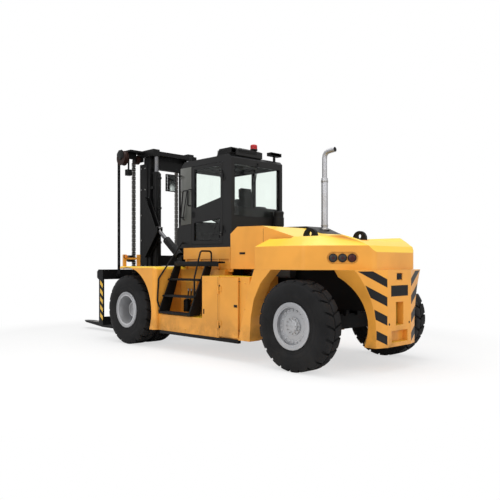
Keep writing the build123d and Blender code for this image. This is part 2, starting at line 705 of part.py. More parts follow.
def stairs():
    """Left stairs: two raked stringers, treads and the deck at the top."""
    rake = [
        (STAIR_Y, 740), (STAIR_Y, 800), (STAIR_Y - STAIR_RUN * 0.677, 1800), (RECESS_Y, 1800),
        (RECESS_Y, 1740), (STAIR_Y - STAIR_RUN * 0.754, 1740), (STAIR_Y - STAIR_RUN * 0.277, 740),
    ]
    shape = None
    for x in (STAIR_FRONT, STAIR_BACK):
        stringer = front_prism(rake, (x, x + 30))
        shape = stringer if shape is None else shape + stringer
    # Rows of the treads: inner edge, outer edge, low face.
    rows = [
        (STAIR_Y - STAIR_RUN * 0.308, STAIR_Y, 745),
        (STAIR_Y - STAIR_RUN * 0.492, STAIR_Y - STAIR_RUN * 0.154, 1080),
        (STAIR_Y - STAIR_RUN * 0.677, STAIR_Y - STAIR_RUN * 0.362, 1415),
        (RECESS_Y, STAIR_Y - STAIR_RUN * 0.631, 1765),
    ]
    for y_in, y_out, z in rows:
        shape += block((STAIR_BACK, STAIR_FRONT + 30), (y_in, y_out), (z, z + 35))
    shape += block((BOX_FRONT - 10, STAIR_BACK + 30), (RECESS_Y, STAIR_Y - STAIR_RUN * 0.631), (1765, 1800))
    return shape


def handrails():
    """Rails at both sides of the stairs and the grab rail in front of the door."""
    front_x = STAIR_FRONT + 30
    post_x = front_x + 60
    front = tube([(front_x, STAIR_Y - 65, 850), (post_x, STAIR_Y - 65, 850), (post_x, STAIR_Y - 20, 1000),
                  (post_x, STAIR_Y - 50, 1450), (post_x, CAB_HALF + 60, 2200), (post_x, CAB_HALF, 2200)],
                 RAIL_R, 45)
    back_x = STAIR_BACK + 55
    low_y = STAIR_Y - STAIR_RUN * 0.246
    top_y = RECESS_Y + 50
    back = tube([(back_x, low_y, 1115), (back_x, low_y, 1480), (back_x, STAIR_Y - STAIR_RUN * 0.492, 2010),
                 (back_x, top_y, 2010), (back_x, top_y, 1800)], RAIL_R, 60)
    grab = tube([(-1070, CAB_HALF, 2740), (-1070, CAB_HALF + 80, 2740), (-1150, CAB_HALF + 80, 3300),
                 (-1315, CAB_HALF + 80, 3300), (-1315, CAB_HALF + 80, 2980), (-1315, CAB_HALF, 2980)],
                RAIL_R - 3, 30)
    return front + back + grab


def cab_plinth():
    """Yellow plinth under the cab."""
    shape = block((-2550, -1080), (-750, 750), (PLINTH_LOW, CAB_FLOOR))
    return shape


def cab_shell():
    """Hollow cab with cut windows, open door way and rounded nose."""
    profile = [
        (CAB_BACK, CAB_FLOOR), (CAB_FRONT + 90, CAB_FLOOR), (CAB_FRONT + 130, 2250), (CAB_FRONT + 110, 2480),
        (CAB_FRONT, 2640), (CAB_FRONT - 40, CAB_ROOF - 90), (CAB_FRONT - 150, CAB_ROOF),
        (CAB_BACK + 60, CAB_ROOF), (CAB_BACK, CAB_ROOF - 60),
    ]
    inner = [
        (CAB_BACK + CAB_WALL, CAB_FLOOR + CAB_WALL), (CAB_FRONT + 30, CAB_FLOOR + CAB_WALL),
        (CAB_FRONT + 65, 2270), (CAB_FRONT + 45, 2460), (CAB_FRONT - 60, 2630),
        (CAB_FRONT - 100, CAB_ROOF - 130), (CAB_FRONT - 170, CAB_ROOF - CAB_WALL),
        (CAB_BACK + CAB_WALL, CAB_ROOF - CAB_WALL),
    ]
    shape = side_prism(profile, (-CAB_HALF, CAB_HALF))
    shape -= side_prism(inner, (-CAB_HALF + CAB_WALL, CAB_HALF - CAB_WALL))
    shape += block((-1940, -1215), (-530, 530), (CAB_ROOF - 10, CAB_ROOF + HATCH_H))
    wall = (CAB_HALF - CAB_WALL - 10, CAB_HALF + 10)
    shape -= block((DOOR_BACK, DOOR_FRONT), wall, (DOOR_LOW, DOOR_TOP))
    shape -= side_prism([(-1070, 2640), (-1040, 3760), (-1290, 3760), (-1290, 2640)], wall)
    right = (-CAB_HALF - 10, -CAB_HALF + CAB_WALL + 10)
    shape -= side_prism([(-1100, 2700), (-1070, 3760), (-1700, 3760), (-1700, 2700)], right)
    shape -= block((-2460, -1780), right, (2700, 3760))
    shape -= block((CAB_BACK - 10, CAB_BACK + CAB_WALL + 10), (-650, 650), (2720, 3740))
    shape -= block((CAB_FRONT - 150, CAB_FRONT + 50), (-650, 650), (2680, 3740))
    shape -= block((-1900, -1250), (-480, 480), (CAB_ROOF - CAB_WALL - 10, CAB_ROOF + HATCH_H + 10))
    for z in DOOR_HINGE_Z:
        shape += hinge_fixed(DOOR_BACK, CAB_HALF, z, -1)
    return shape


def cab_glazing():
    """Fixed panes of the cab, set in the middle of the walls."""
    mid = CAB_HALF - CAB_WALL / 2
    pane = (mid - GLASS_T / 2, mid + GLASS_T / 2)
    shape = side_prism([(-1070, 2640), (-1040, 3760), (-1290, 3760), (-1290, 2640)], pane)
    right = (-pane[1], -pane[0])
    shape += side_prism([(-1100, 2700), (-1070, 3760), (-1700, 3760), (-1700, 2700)], right)
    shape += block((-2460, -1780), right, (2700, 3760))
    back = CAB_BACK + CAB_WALL / 2
    shape += block((back - GLASS_T / 2, back + GLASS_T / 2), (-650, 650), (2720, 3740))
    low_x = CAB_FRONT - 30
    high_x = low_x - 35
    shape += side_prism([(low_x, 2680), (low_x + GLASS_T, 2680), (high_x + GLASS_T, 3740), (high_x, 3740)],
                        (-650, 650))
    shape += block((-1900, -1250), (-480, 480), (CAB_ROOF + HATCH_H - 30, CAB_ROOF + HATCH_H - 30 + GLASS_T))
    return shape


def cab_door():
    """Left door frame with its upper and lower window."""
    y = (CAB_HALF - CAB_WALL, CAB_HALF)
    shape = block((DOOR_BACK + DOOR_GAP, DOOR_FRONT - DOOR_GAP), y, (DOOR_LOW + DOOR_GAP, DOOR_TOP - DOOR_GAP))
    wall = (y[0] - 10, y[1] + 10)
    shape -= side_prism([(-1440, 2920), (-1440, 3730), (-2260, 3730), (-2260, 3090)], wall)
    shape -= side_prism([(-1420, 2240), (-1420, 2610), (-2230, 2670), (-2230, 2240)], wall)
    for z in DOOR_HINGE_Z:
        shape += hinge_moving(DOOR_BACK, CAB_HALF, z, 1)
    return shape


def door_glass():
    """Panes of the left door."""
    mid = CAB_HALF - CAB_WALL / 2
    pane = (mid - GLASS_T / 2, mid + GLASS_T / 2)
    shape = side_prism([(-1440, 2920), (-1440, 3730), (-2260, 3730), (-2260, 3090)], pane)
    shape += side_prism([(-1420, 2240), (-1420, 2610), (-2230, 2670), (-2230, 2240)], pane)
    return shape


def roof_unit():
    """Air unit on the roof's back half."""
    points = [
        (-2560, CAB_ROOF), (-2560, UNIT_TOP - 50), (-2420, UNIT_TOP), (-2060, UNIT_TOP), (-1960, CAB_ROOF),
    ]
    return side_prism(points, (-150, 600))


def beacon():
    """Round warning beacon on its foot."""
    shape = bar_z(-2440, -20, 60, (UNIT_TOP, UNIT_TOP + 25))
    shape += bar_z(-2440, -20, 50, (UNIT_TOP + 25, UNIT_TOP + 125))
    return shape


def work_lamps():
    """Work lamps on the roof: two at the back and two at the front."""
    shape = None
    # Rows: middle along X, right edge, left edge, low face and high face above the roof.
    rows = [
        (CAB_BACK + 70, 610, 735, 25, 125),
        (CAB_BACK + 70, -720, -400, 105, 175),
        (CAB_FRONT - 180, 490, 615, 25, 125),
        (CAB_FRONT - 180, -615, -490, 25, 125),
    ]
    for x, right, left, low, high in rows:
        middle = (right + left) / 2
        lamp = block((x - 60, x + 60), (right, left), (CAB_ROOF + low, CAB_ROOF + high))
        lamp += block((x - 20, x + 20), (middle - 20, middle + 20), (CAB_ROOF, CAB_ROOF + low + 5))
        shape = lamp if shape is None else shape + lamp
    return shape


def mirrors():
    """Mirror heads on arms at the cab's front corners."""
    head = block((MIRROR_X - 25, MIRROR_X + 25), (MIRROR_Y - 120, MIRROR_Y + 120), (3330, 3700))
    foot_x = CAB_FRONT - 57
    arm = tube([(MIRROR_X, MIRROR_Y, 3640), (foot_x, MIRROR_Y, 3640), (foot_x, CAB_HALF, 3640)], 13, 30)
    return both(head + arm)


def seat_cushions():
    """Seat, back and head rest."""
    shape = block((-2180, -1690), (-240, 240), (2450, 2570))
    shape += block((-2190, -2090), (-230, 230), (2580, 3120))
    shape += block((-2190, -2110), (-140, 140), (3120 + ROD_CLEAR, 3330))
    return shape


def cab_fittings():
    """Seat pedestal, steering console with its wheel, and the side console."""
    floor = CAB_FLOOR + CAB_WALL
    shape = block((-2150, -1750), (-200, 200), (floor, 2440))
    shape += block((-2230, -2190), (-190, 190), (2440, 3050))
    shape += block((-2230, -1700), (-230, 230), (2420, 2450))
    stand = block((-1250, -1060), (-170, 170), (floor, 2420))
    stand += bar_between((-1180, 0, 2380), (-1350, 0, 2720), 35)
    stand += Plane(origin=(-1350, 0, 2720), z_dir=Vector(-0.45, 0, 0.9)) * Cylinder(200, 30)
    side = block((-2150, -1500), (-560, -330), (floor, 2600))
    return shape + stand + side


def outer_mast():
    """Two channel uprights, cross beams, pivot lugs and tilt gussets."""
    upright = block((MAST_BACK, MAST_FRONT), (MAST_IN_Y, MAST_OUT_Y), (MAST_LOW, MAST_TOP))
    upright -= block((MAST_BACK + RAIL_T, MAST_FRONT - RAIL_T), (MAST_IN_Y - 10, MAST_OUT_Y - RAIL_T),
                     (MAST_LOW - 10, MAST_TOP + 10))
    upright += block((MAST_BACK + 100, GUARD_FRONT), (MAST_OUT_Y - 5, MAST_OUT_Y + GUARD_T),
                     (1560, MAST_TOP - 150))
    lug_y = (FRAME_Y + FRAME_PLATE + 10, MAST_OUT_Y - 20)
    lug = bar_y(PIVOT_X, PIVOT_Z, 100, lug_y)
    lug += block((PIVOT_X, MAST_BACK + 20), lug_y, (PIVOT_Z - 90, PIVOT_Z + 90))
    lug -= bar_y(PIVOT_X, PIVOT_Z, PIVOT_R + RUN_CLEAR, (lug_y[0] - 5, lug_y[1] + 5))
    gap = TILT_ROD_R + 8
    low_z = TILT_EYE_Z - 630
    high_z = TILT_EYE_Z + 770
    gusset = None
    for low in (TILT_Y - gap - 25, TILT_Y + gap):
        cheek = side_prism([
            (MAST_BACK + 60, low_z), (MAST_BACK + 60, high_z), (MAST_BACK, high_z),
            (TILT_EYE_X + 40, TILT_EYE_Z + 70),
            (TILT_EYE_X - 60, TILT_EYE_Z + 60), (TILT_EYE_X - 60, TILT_EYE_Z - 60), (MAST_BACK, low_z),
        ], (low, low + 25))
        gusset = cheek if gusset is None else gusset + cheek
    gusset += block((MAST_BACK + 20, MAST_BACK + 60), (MAST_OUT_Y - 10, TILT_Y + gap + 25), (low_z, high_z))
    gusset += bar_y(TILT_EYE_X, TILT_EYE_Z, TILT_PIN_R, (TILT_Y - gap - 25, TILT_Y + gap + 25))
    shape = both(upright + lug + gusset)
    rows = [(340, 430), (1700, 1950), (MAST_TOP - 270, MAST_TOP - 60)]
    for low, high in rows:
        shape += block((MAST_BACK - 20, MAST_BACK + 15), (-MAST_OUT_Y, MAST_OUT_Y), (low, high))
    foot = block((LIFT_X - 90, MAST_BACK + 10), (LIFT_Y - 70, LIFT_Y + 70), (LIFT_LOW - 50, LIFT_LOW))
    clamp = block((LIFT_X - 20, MAST_BACK + 10), (LIFT_Y + LIFT_BARREL_R - 20, MAST_OUT_Y - 10),
                  (LIFT_BARREL_TOP - 400, LIFT_BARREL_TOP - 340))
    shape += both(foot + clamp)
    return shape - both(bar_z(LIFT_X, LIFT_Y, LIFT_BARREL_R, (LIFT_LOW, MAST_TOP + 10)))


def lift_barrels():
    """Hollow barrels of the lift cylinders."""
    barrel = bar_z(LIFT_X, LIFT_Y, LIFT_BARREL_R, (LIFT_LOW, LIFT_BARREL_TOP))
    barrel -= bar_z(LIFT_X, LIFT_Y, LIFT_BORE_R, (LIFT_LOW + 40, LIFT_BARREL_TOP - 60))
    barrel -= bar_z(LIFT_X, LIFT_Y, LIFT_ROD_R + ROD_CLEAR, (LIFT_BARREL_TOP - 70, LIFT_BARREL_TOP + 1))
    return both(barrel)


def lift_rods():
    """Chrome rods from the barrels up to the mast head."""
    return both(bar_z(LIFT_X, LIFT_Y, LIFT_ROD_R, (LIFT_BARREL_TOP - LIFT_STROKE - ROD_GRIP, HEAD_LOW)))


def inner_mast():
    """Inner rails, cross beams and the head with its sheave arms."""
    back = MAST_BACK + RAIL_T + SLIDE_CLEAR
    front = MAST_FRONT - RAIL_T - SLIDE_CLEAR
    rail = block((back, front), (INNER_IN_Y, INNER_OUT_Y), (INNER_LOW, HEAD_LOW + 20))
    rail -= block((back + INNER_T, front - INNER_T), (INNER_IN_Y - 10, INNER_OUT_Y - INNER_T),
                  (INNER_LOW - 10, HEAD_LOW + 30))
    head = block((LIFT_X - 75, MAST_FRONT + 60), (INNER_IN_Y, MAST_OUT_Y + 20), (HEAD_LOW, HEAD_TOP))
    shape = both(rail + head)
    shape += block((LIFT_X - 75, LIFT_X + 60), (-INNER_IN_Y, INNER_IN_Y), (HEAD_LOW + 20, HEAD_TOP - 40))
    shape += block((back + 20, back + 80), (-INNER_IN_Y, INNER_IN_Y), (MAST_TOP - 270, MAST_TOP - 90))
    shape += block((back + 10, back + INNER_T + 10), (-INNER_IN_Y, INNER_IN_Y), (INNER_LOW, INNER_LOW + 160))
    sheave_x = CHAIN_X - SHEAVE_R - CHAIN_T / 2
    arm_z = (SHEAVE_Z - 60, HEAD_TOP - 20)
    cheek_y = CHAIN_Y + CHAIN_W / 2 + 8
    arm = block((MAST_FRONT + 40, sheave_x + 60), (MAST_OUT_Y - 20, MAST_OUT_Y + 8), arm_z)
    arm += block((sheave_x - 60, sheave_x + 60), (cheek_y, cheek_y + 30), arm_z)
    arm += block((MAST_FRONT - 40, sheave_x + 60), (MAST_OUT_Y - 20, HOSE_Y - 60),
                 (HEAD_TOP - 60, HEAD_TOP - 20))
    hose_x = HOSE_X - HOSE_SHEAVE_R - HOSE_R
    arm += block((hose_x - 45, hose_x + 45), (cheek_y, HOSE_Y - 60), (HEAD_TOP - 190, HEAD_TOP - 20))
    arm += bar_y(hose_x, SHEAVE_Z, 30, (HOSE_Y - 80, HOSE_Y + 62))
    arm += bar_y(sheave_x, SHEAVE_Z, 30, (MAST_OUT_Y, cheek_y + 22))
    return shape + both(arm)


def sheaves():
    """Chain sheaves and hose pulleys on the mast head."""
    x = CHAIN_X - SHEAVE_R - CHAIN_T / 2
    y = (CHAIN_Y - CHAIN_W / 2, CHAIN_Y + CHAIN_W / 2)
    shape = bar_y(x, SHEAVE_Z, SHEAVE_R, y)
    shape -= bar_y(x, SHEAVE_Z, 30, (y[0] - 5, y[1] + 5))
    hose_x = HOSE_X - HOSE_SHEAVE_R - HOSE_R
    y = (HOSE_Y - 56, HOSE_Y + 56)
    pulley = bar_y(hose_x, SHEAVE_Z, HOSE_SHEAVE_R, y)
    for edge in (y[0] + 8, y[1] - 8):
        pulley += bar_y(hose_x, SHEAVE_Z, HOSE_SHEAVE_R + 2 * HOSE_R, (edge - 8, edge + 8))
    pulley -= bar_y(hose_x, SHEAVE_Z, 30, (y[0] - 5, y[1] + 5))
    return both(shape) + both(pulley)


def lift_chains():
    """Front strands of the lift chains, waisted at every link, from carriage to sheave."""
    low = CHAIN_LOW
    steps = 2 * round((SHEAVE_Z - low) / CHAIN_PITCH)
    edge = []
    for count in range(steps + 1):
        half = CHAIN_T / 2 - CHAIN_WAIST * (count % 2)
        edge.append((half, low + (SHEAVE_Z - low) * count / steps))
    outline = [(CHAIN_X + half, z) for half, z in edge]
    outline += [(CHAIN_X - half, z) for half, z in reversed(edge)]
    return both(side_prism(outline, (CHAIN_Y - CHAIN_W / 2, CHAIN_Y + CHAIN_W / 2)))


def carriage_hoses():
    """Hose bundles from the pulleys to the carriage."""
    shape = None
    for step in (-25, 0, 25):
        hose = bar_z(HOSE_X, HOSE_Y + step, HOSE_R, (CHAIN_LOW, SHEAVE_Z))
        shape = hose if shape is None else shape + hose
    return both(shape)


def mast_lamps():
    """Work lamps hung from the mast head's arms."""
    x = HOSE_X - HOSE_SHEAVE_R - HOSE_R
    y = (CHAIN_Y + HOSE_Y) / 2 + 40
    lamp = block((x - 60, x + 60), (y - 60, y + 60), (HEAD_TOP - 590, HEAD_TOP - 450))
    lamp += block((x - 15, x + 15), (y - 15, y + 15), (HEAD_TOP - 450, HEAD_TOP - 190))
    return both(lamp)


def carriage():
    """Fork carriage: wide frame, end plates, roller arms and the fork shaft."""
    x = (CARRIAGE_BACK, CARRIAGE_BACK + CARRIAGE_BEAM)
    shape = block(x, (-CARRIAGE_Y, CARRIAGE_Y), (BEAM_TOP_LOW, CARRIAGE_TOP))
    shape += block(x, (-CARRIAGE_Y, CARRIAGE_Y), (CARRIAGE_LOW, CARRIAGE_LOW + 190))
    end = side_prism([
        (CARRIAGE_BACK, CARRIAGE_LOW), (CARRIAGE_EDGE, CARRIAGE_LOW), (CARRIAGE_EDGE, SHAFT_Z - 120),
        (CARRIAGE_FRONT, SHAFT_Z - 70), (CARRIAGE_FRONT, SHAFT_Z + 70), (CARRIAGE_EDGE + 20, CARRIAGE_TOP),
        (CARRIAGE_BACK, CARRIAGE_TOP),
    ], (CARRIAGE_Y - 40, CARRIAGE_Y))
    roller_x = (MAST_BACK + MAST_FRONT) / 2
    arm_x = roller_x - 35
    arm = side_prism([
        (arm_x, 420), (CARRIAGE_BACK + 20, 420), (CARRIAGE_BACK + 20, CARRIAGE_TOP),
        (CARRIAGE_BACK - 60, CARRIAGE_TOP), (arm_x + 100, 1500), (arm_x, 1500),
    ], (ARM_IN_Y, ARM_OUT_Y))
    for z in (560, 1380):
        arm += bar_y(roller_x, z, ROLLER_R, (INNER_IN_Y + 8, INNER_OUT_Y - INNER_T - 8))
        arm += bar_y(roller_x, z, ROLLER_AXLE_R, (ARM_IN_Y, INNER_IN_Y + 20))
    hold_z = (CHAIN_LOW - 70, CHAIN_LOW)
    anchor = block((CHAIN_X - 25, CARRIAGE_BACK + 10), (CHAIN_Y - 40, CHAIN_Y + 40), hold_z)
    anchor += block((HOSE_X - 25, CARRIAGE_BACK + 10), (HOSE_Y - 60, HOSE_Y + 60), hold_z)
    shape += both(end + arm + anchor)
    shape += bar_y(SHAFT_X, SHAFT_Z, SHAFT_R, (-CARRIAGE_Y + 20, CARRIAGE_Y - 20))
    return shape


def fork():
    """Left fork: eye on the shaft, shank and tapered blade."""
    heel_back = CARRIAGE_BACK + CARRIAGE_BEAM + SLIDE_CLEAR + 15
    heel_front = heel_back + FORK_T
    top = FORK_LOW + FORK_T
    points = [
        (heel_back, FORK_LOW + 60), (heel_back + 60, FORK_LOW), (2600, FORK_LOW), (FORK_REACH, top - 22),
        (FORK_REACH, top), (heel_front + 40, top), (heel_front, top + 40), (heel_front, SHAFT_Z),
        (heel_back, SHAFT_Z),
    ]
    y = (FORK_Y - FORK_W / 2, FORK_Y + FORK_W / 2)
    shape = side_prism(points, y) & plan_prism([
        (CARRIAGE_BACK, y[0]), (FORK_REACH - FORK_TIP, y[0]), (FORK_REACH, FORK_Y - FORK_TIP_HALF),
        (FORK_REACH, FORK_Y + FORK_TIP_HALF), (FORK_REACH - FORK_TIP, y[1]), (CARRIAGE_BACK, y[1]),
    ], (0, SHAFT_Z))
    shape += bar_y(SHAFT_X, SHAFT_Z, FORK_EYE_R, y)
    shape -= bar_y(SHAFT_X, SHAFT_Z, SHAFT_R + RUN_CLEAR, (y[0] - 5, y[1] + 5))
    return shape


def tilt_axis(share):
    """Point on the tilt cylinder's axis, by its share of the way from foot to mast eye."""
    x = TILT_FOOT_X + (TILT_EYE_X - TILT_FOOT_X) * share
    z = TILT_FOOT_Z + (TILT_EYE_Z - TILT_FOOT_Z) * share
    return (x, TILT_Y, z)


def tilt_barrel():
    """Left tilt barrel, hollow, with its foot's eye."""
    foot = tilt_axis(0)
    shape = bar_between(tilt_axis(0.10), tilt_axis(0.64), TILT_BARREL_R)
    shape -= bar_between(tilt_axis(0.13), tilt_axis(0.60), TILT_ROD_R + 12)
    shape -= bar_between(tilt_axis(0.59), tilt_axis(0.70), TILT_ROD_R + ROD_CLEAR)
    shape += bar_between(tilt_axis(0), tilt_axis(0.11), TILT_EYE_W / 2)
    shape += bar_y(foot[0], foot[2], TILT_EYE_R, (TILT_Y - TILT_EYE_W / 2, TILT_Y + TILT_EYE_W / 2))
    shape -= bar_y(foot[0], foot[2], TILT_PIN_R + RUN_CLEAR, (TILT_Y - TILT_EYE_W, TILT_Y + TILT_EYE_W))
    return shape


def tilt_rod():
    """Left tilt rod with its eye at the mast."""
    eye = tilt_axis(1)
    shape = bar_between(tilt_axis(0.43), tilt_axis(0.95), TILT_ROD_R)
    shape += bar_y(eye[0], eye[2], TILT_EYE_R, (TILT_Y - TILT_EYE_W / 2, TILT_Y + TILT_EYE_W / 2))
    shape -= bar_y(eye[0], eye[2], TILT_PIN_R + EYE_PLAY, (TILT_Y - TILT_EYE_W, TILT_Y + TILT_EYE_W))
    return shape


def head_lamps():
    """Round head lamp and small turn lamp at the posts of both fenders."""
    z = FENDER_TOP + POST_H - 90
    head = Pos(POST_X + 50, sum(POST_Y) / 2, z) * Rot(0, 90, 0) * Cylinder(75, 120)
    turn = Pos(POST_X - 45, POST_Y[1], FENDER_TOP + POST_H - 48) * Rot(0, 90, 0) * Cylinder(42, 40)
    return both(head + turn)


os.makedirs("parts", exist_ok=True)
left_tyres = tyre(0, OUTER_TYRE_Y) + tyre(0, INNER_TYRE_Y)
left_rims = drive_rims()
steer_tyre = tyre(STEER_X, OUTER_TYRE_Y)
steer_rim_left = steer_rim()
left_knuckle = knuckle()
left_fender = fender()
left_fork = fork()
left_barrel = tilt_barrel()
left_rod = tilt_rod()

nodes = {
    "main_frame": main_frame(),
    "drive_axle": drive_axle(),
    "steer_axle": steer_axle(),
    "front_fenders": both(left_fender + lamp_posts()),
    "side_panels": both(side_panel()),
    "side_box": side_box(),
    "box_lid": box_lid(),
    "right_tank": right_tank(),
    "counterweight": upper_casting() + lower_casting(),
    "lifting_lugs": lifting_lugs(),
    "lamps": tail_lamps() + work_lamps() + head_lamps(),
    "hood": hood(),
    "engine_block": engine_block(),
    "louvre_panel": louvre_panel(),
    "exhaust_stack": exhaust_stack(),
    "stairs": stairs(),
    "handrails": handrails(),
    "cab_plinth": cab_plinth(),
    "cab_shell": cab_shell(),
    "cab_glazing": cab_glazing(),
    "cab_door": cab_door(),
    "door_glass": door_glass(),
    "roof_unit": roof_unit(),
    "beacon": beacon(),
    "mirrors": mirrors(),
    "seat_cushions": seat_cushions(),
    "cab_fittings": cab_fittings(),
    "outer_mast": outer_mast(),
    "lift_barrels": lift_barrels(),
    "lift_rods": lift_rods(),
    "inner_mast": inner_mast(),
    "sheaves": sheaves(),
    "lift_chains": lift_chains(),
    "carriage_hoses": carriage_hoses(),
    "mast_lamps": mast_lamps(),
    "carriage": carriage(),
    "fork_left": left_fork,
    "fork_right": other(left_fork),
    "tilt_barrel_left": left_barrel,
    "tilt_barrel_right": other(left_barrel),
    "tilt_rod_left": left_rod,
    "tilt_rod_right": other(left_rod),
    "knuckle_left": left_knuckle,
    "knuckle_right": other(left_knuckle),
    "drive_tyres_left": left_tyres,
    "drive_tyres_right": other(left_tyres),
    "drive_rims_left": left_rims,
    "drive_rims_right": other(left_rims),
    "steer_tyre_left": steer_tyre,
    "steer_tyre_right": other(steer_tyre),
    "steer_rim_left": steer_rim_left,
    "steer_rim_right": other(steer_rim_left),
}

for name, shape in nodes.items():
    save(shape, name)
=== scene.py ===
"""Looks of the heavy forklift truck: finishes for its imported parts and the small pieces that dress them."""
import logging
import math
from dataclasses import dataclass, replace
from enum import Enum
from typing import Callable, Iterable, Mapping, Optional, Sequence, Union

import bmesh
import bpy
from mathutils import Matrix, Vector


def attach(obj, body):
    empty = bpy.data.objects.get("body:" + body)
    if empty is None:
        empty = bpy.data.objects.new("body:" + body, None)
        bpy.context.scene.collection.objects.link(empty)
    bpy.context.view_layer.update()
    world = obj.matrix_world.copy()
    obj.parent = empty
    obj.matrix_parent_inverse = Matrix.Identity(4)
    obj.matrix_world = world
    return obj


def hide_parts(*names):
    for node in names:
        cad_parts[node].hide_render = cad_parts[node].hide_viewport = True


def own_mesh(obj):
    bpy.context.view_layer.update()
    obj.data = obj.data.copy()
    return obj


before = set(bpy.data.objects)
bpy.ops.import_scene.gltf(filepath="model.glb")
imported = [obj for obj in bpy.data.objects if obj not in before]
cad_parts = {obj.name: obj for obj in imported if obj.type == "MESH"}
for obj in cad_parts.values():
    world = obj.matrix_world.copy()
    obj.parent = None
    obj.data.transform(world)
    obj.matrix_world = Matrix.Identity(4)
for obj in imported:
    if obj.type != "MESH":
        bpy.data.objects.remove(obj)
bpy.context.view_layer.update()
LOG = logging.getLogger("forklift")

Row = Sequence[float]
Span = tuple[float, float]
Socket = bpy.types.NodeSocket
Sockets = Mapping[str, Socket]
Value = Union[Socket, float, Row]

# Pieces are drawn in metres from the front axle, which lies this far ahead of the frame's origin.
AXLE_X = 1.12
AXLE_Z = 0.75
STEER_X = -4.8
OUTER_TYRE_Y = 1.2925
FRONT, REAR = (1.0, 0.0, 0.0), (-1.0, 0.0, 0.0)
LEFT, UP = (0.0, 1.0, 0.0), (0.0, 0.0, 1.0)
# Edges that bend by more than these degrees are shaded sharp.
SHARP_ANGLE = 32.0
BEVEL_SAMPLES = 6
# Places of factor, first and second colour among a Mix node's inputs, and of the mixed colour.
MIX_INPUTS = (0, 6, 7)
MIX_OUTPUT = 2


class Body(Enum):
    """Bodies that the new pieces ride on."""

    CHASSIS = "chassis"
    DOOR = "door"
    LID = "lid"
    OUTER_MAST = "outer_mast"
    INNER_MAST = "inner_mast"
    CARRIAGE = "carriage"
    FORK_LEFT = "fork_left"
    FORK_RIGHT = "fork_right"
    DRIVE_LEFT = "drive_wheel_left"
    DRIVE_RIGHT = "drive_wheel_right"
    STEER_LEFT = "steer_wheel_left"
    STEER_RIGHT = "steer_wheel_right"


class Slot(Enum):
    """Material slots of the record."""

    YELLOW = "paint_yellow"
    BLACK = "paint_black"
    RIM = "rim_silver"
    TYRE = "tyre_black"
    HOSE = "hose_black"
    CHROME = "chrome"
    STEEL = "steel_bare"
    CHAIN = "chain_steel"
    BEACON = "beacon_red"
    LAMP = "lamp_clear"
    PLASTIC = "plastic_dark"
    SEAT = "seat_fabric"


class Graph:
    """Short ways to add, fill and join shader nodes."""

    def __init__(self, tree: bpy.types.NodeTree) -> None:
        """Keep the tree that nodes are added to."""
        self.tree = tree

    def feed(self, end: Socket, value: Value) -> None:
        """Link an input to a socket, or set it to a number or a colour."""
        if isinstance(value, Socket):
            self.tree.links.new(value, end)
        elif end.type == "RGBA" and len(value) == 3:
            end.default_value = (*value, 1.0)
        else:
            end.default_value = value

    def fill(self, node: bpy.types.Node, **values: object) -> bpy.types.Node:
        """Set a node's properties and inputs.

        Args:
            node: Node to set.
            values: Property values, or values and sockets for inputs named with underscores for blanks.

        Returns:
            The node.
        """
        for name, value in values.items():
            if hasattr(node, name):
                setattr(node, name, value)
            else:
                self.feed(node.inputs[name.replace("_", " ")], value)
        return node

    def add(self, kind: str, **values: object) -> bpy.types.Node:
        """Add a node by its type name without ShaderNode and fill it."""
        return self.fill(self.tree.nodes.new("ShaderNode" + kind), **values)

    def group(self, effect: "Effect", **values: object) -> Sockets:
        """Add a shared effect and give its outputs."""
        return self.add("Group", node_tree=effect.tree(), **values).outputs

    def place(self) -> Socket:
        """Give the object coordinates."""
        return self.add("TexCoord").outputs["Object"]

    def noise(self, **values: object) -> Socket:
        """Add a noise over the object coordinates."""
        return self.add("TexNoise", Vector=self.place(), **values).outputs["Fac"]

    def normal(self) -> Socket:
        """Give the surface's own normal."""
        return self.add("NewGeometry").outputs["Normal"]

    def z_of(self, vector: Socket) -> Socket:
        """Give the Z value of a vector."""
        return self.add("SeparateXYZ", Vector=vector).outputs["Z"]

    def ramp(self, value: Socket, low: Value, high: Value) -> Socket:
        """Map a value smoothly from low..high to 0..1."""
        node = self.add("MapRange", interpolation_type="SMOOTHSTEP", Value=value, From_Min=low, From_Max=high)
        return node.outputs["Result"]

    def span(self, value: Socket, low: float, high: float) -> Socket:
        """Map a value evenly from 0..1 to low..high."""
        return self.add("MapRange", Value=value, To_Min=low, To_Max=high).outputs["Result"]

    def math(self, kind: str, *values: Value) -> Socket:
        """Calculate with sockets or numbers by the operation's name."""
        node = self.add("Math", operation=kind)
        for end, value in zip(node.inputs, values):
            self.feed(end, value)
        return node.outputs[0]

    def mix(self, *values: Value) -> Socket:
        """Mix two colours, given the factor and then the colours at 0 and at 1."""
        node = self.add("Mix", data_type="RGBA")
        for index, value in zip(MIX_INPUTS, values):
            self.feed(node.inputs[index], value)
        return node.outputs[MIX_OUTPUT]

    def bump(self, height: Socket, strength: float, distance: float, **values: object) -> Socket:
        """Give a normal that is bent by a height."""
        node = self.add("Bump", Strength=strength, Distance=distance, Height=height, **values)
        return node.outputs["Normal"]


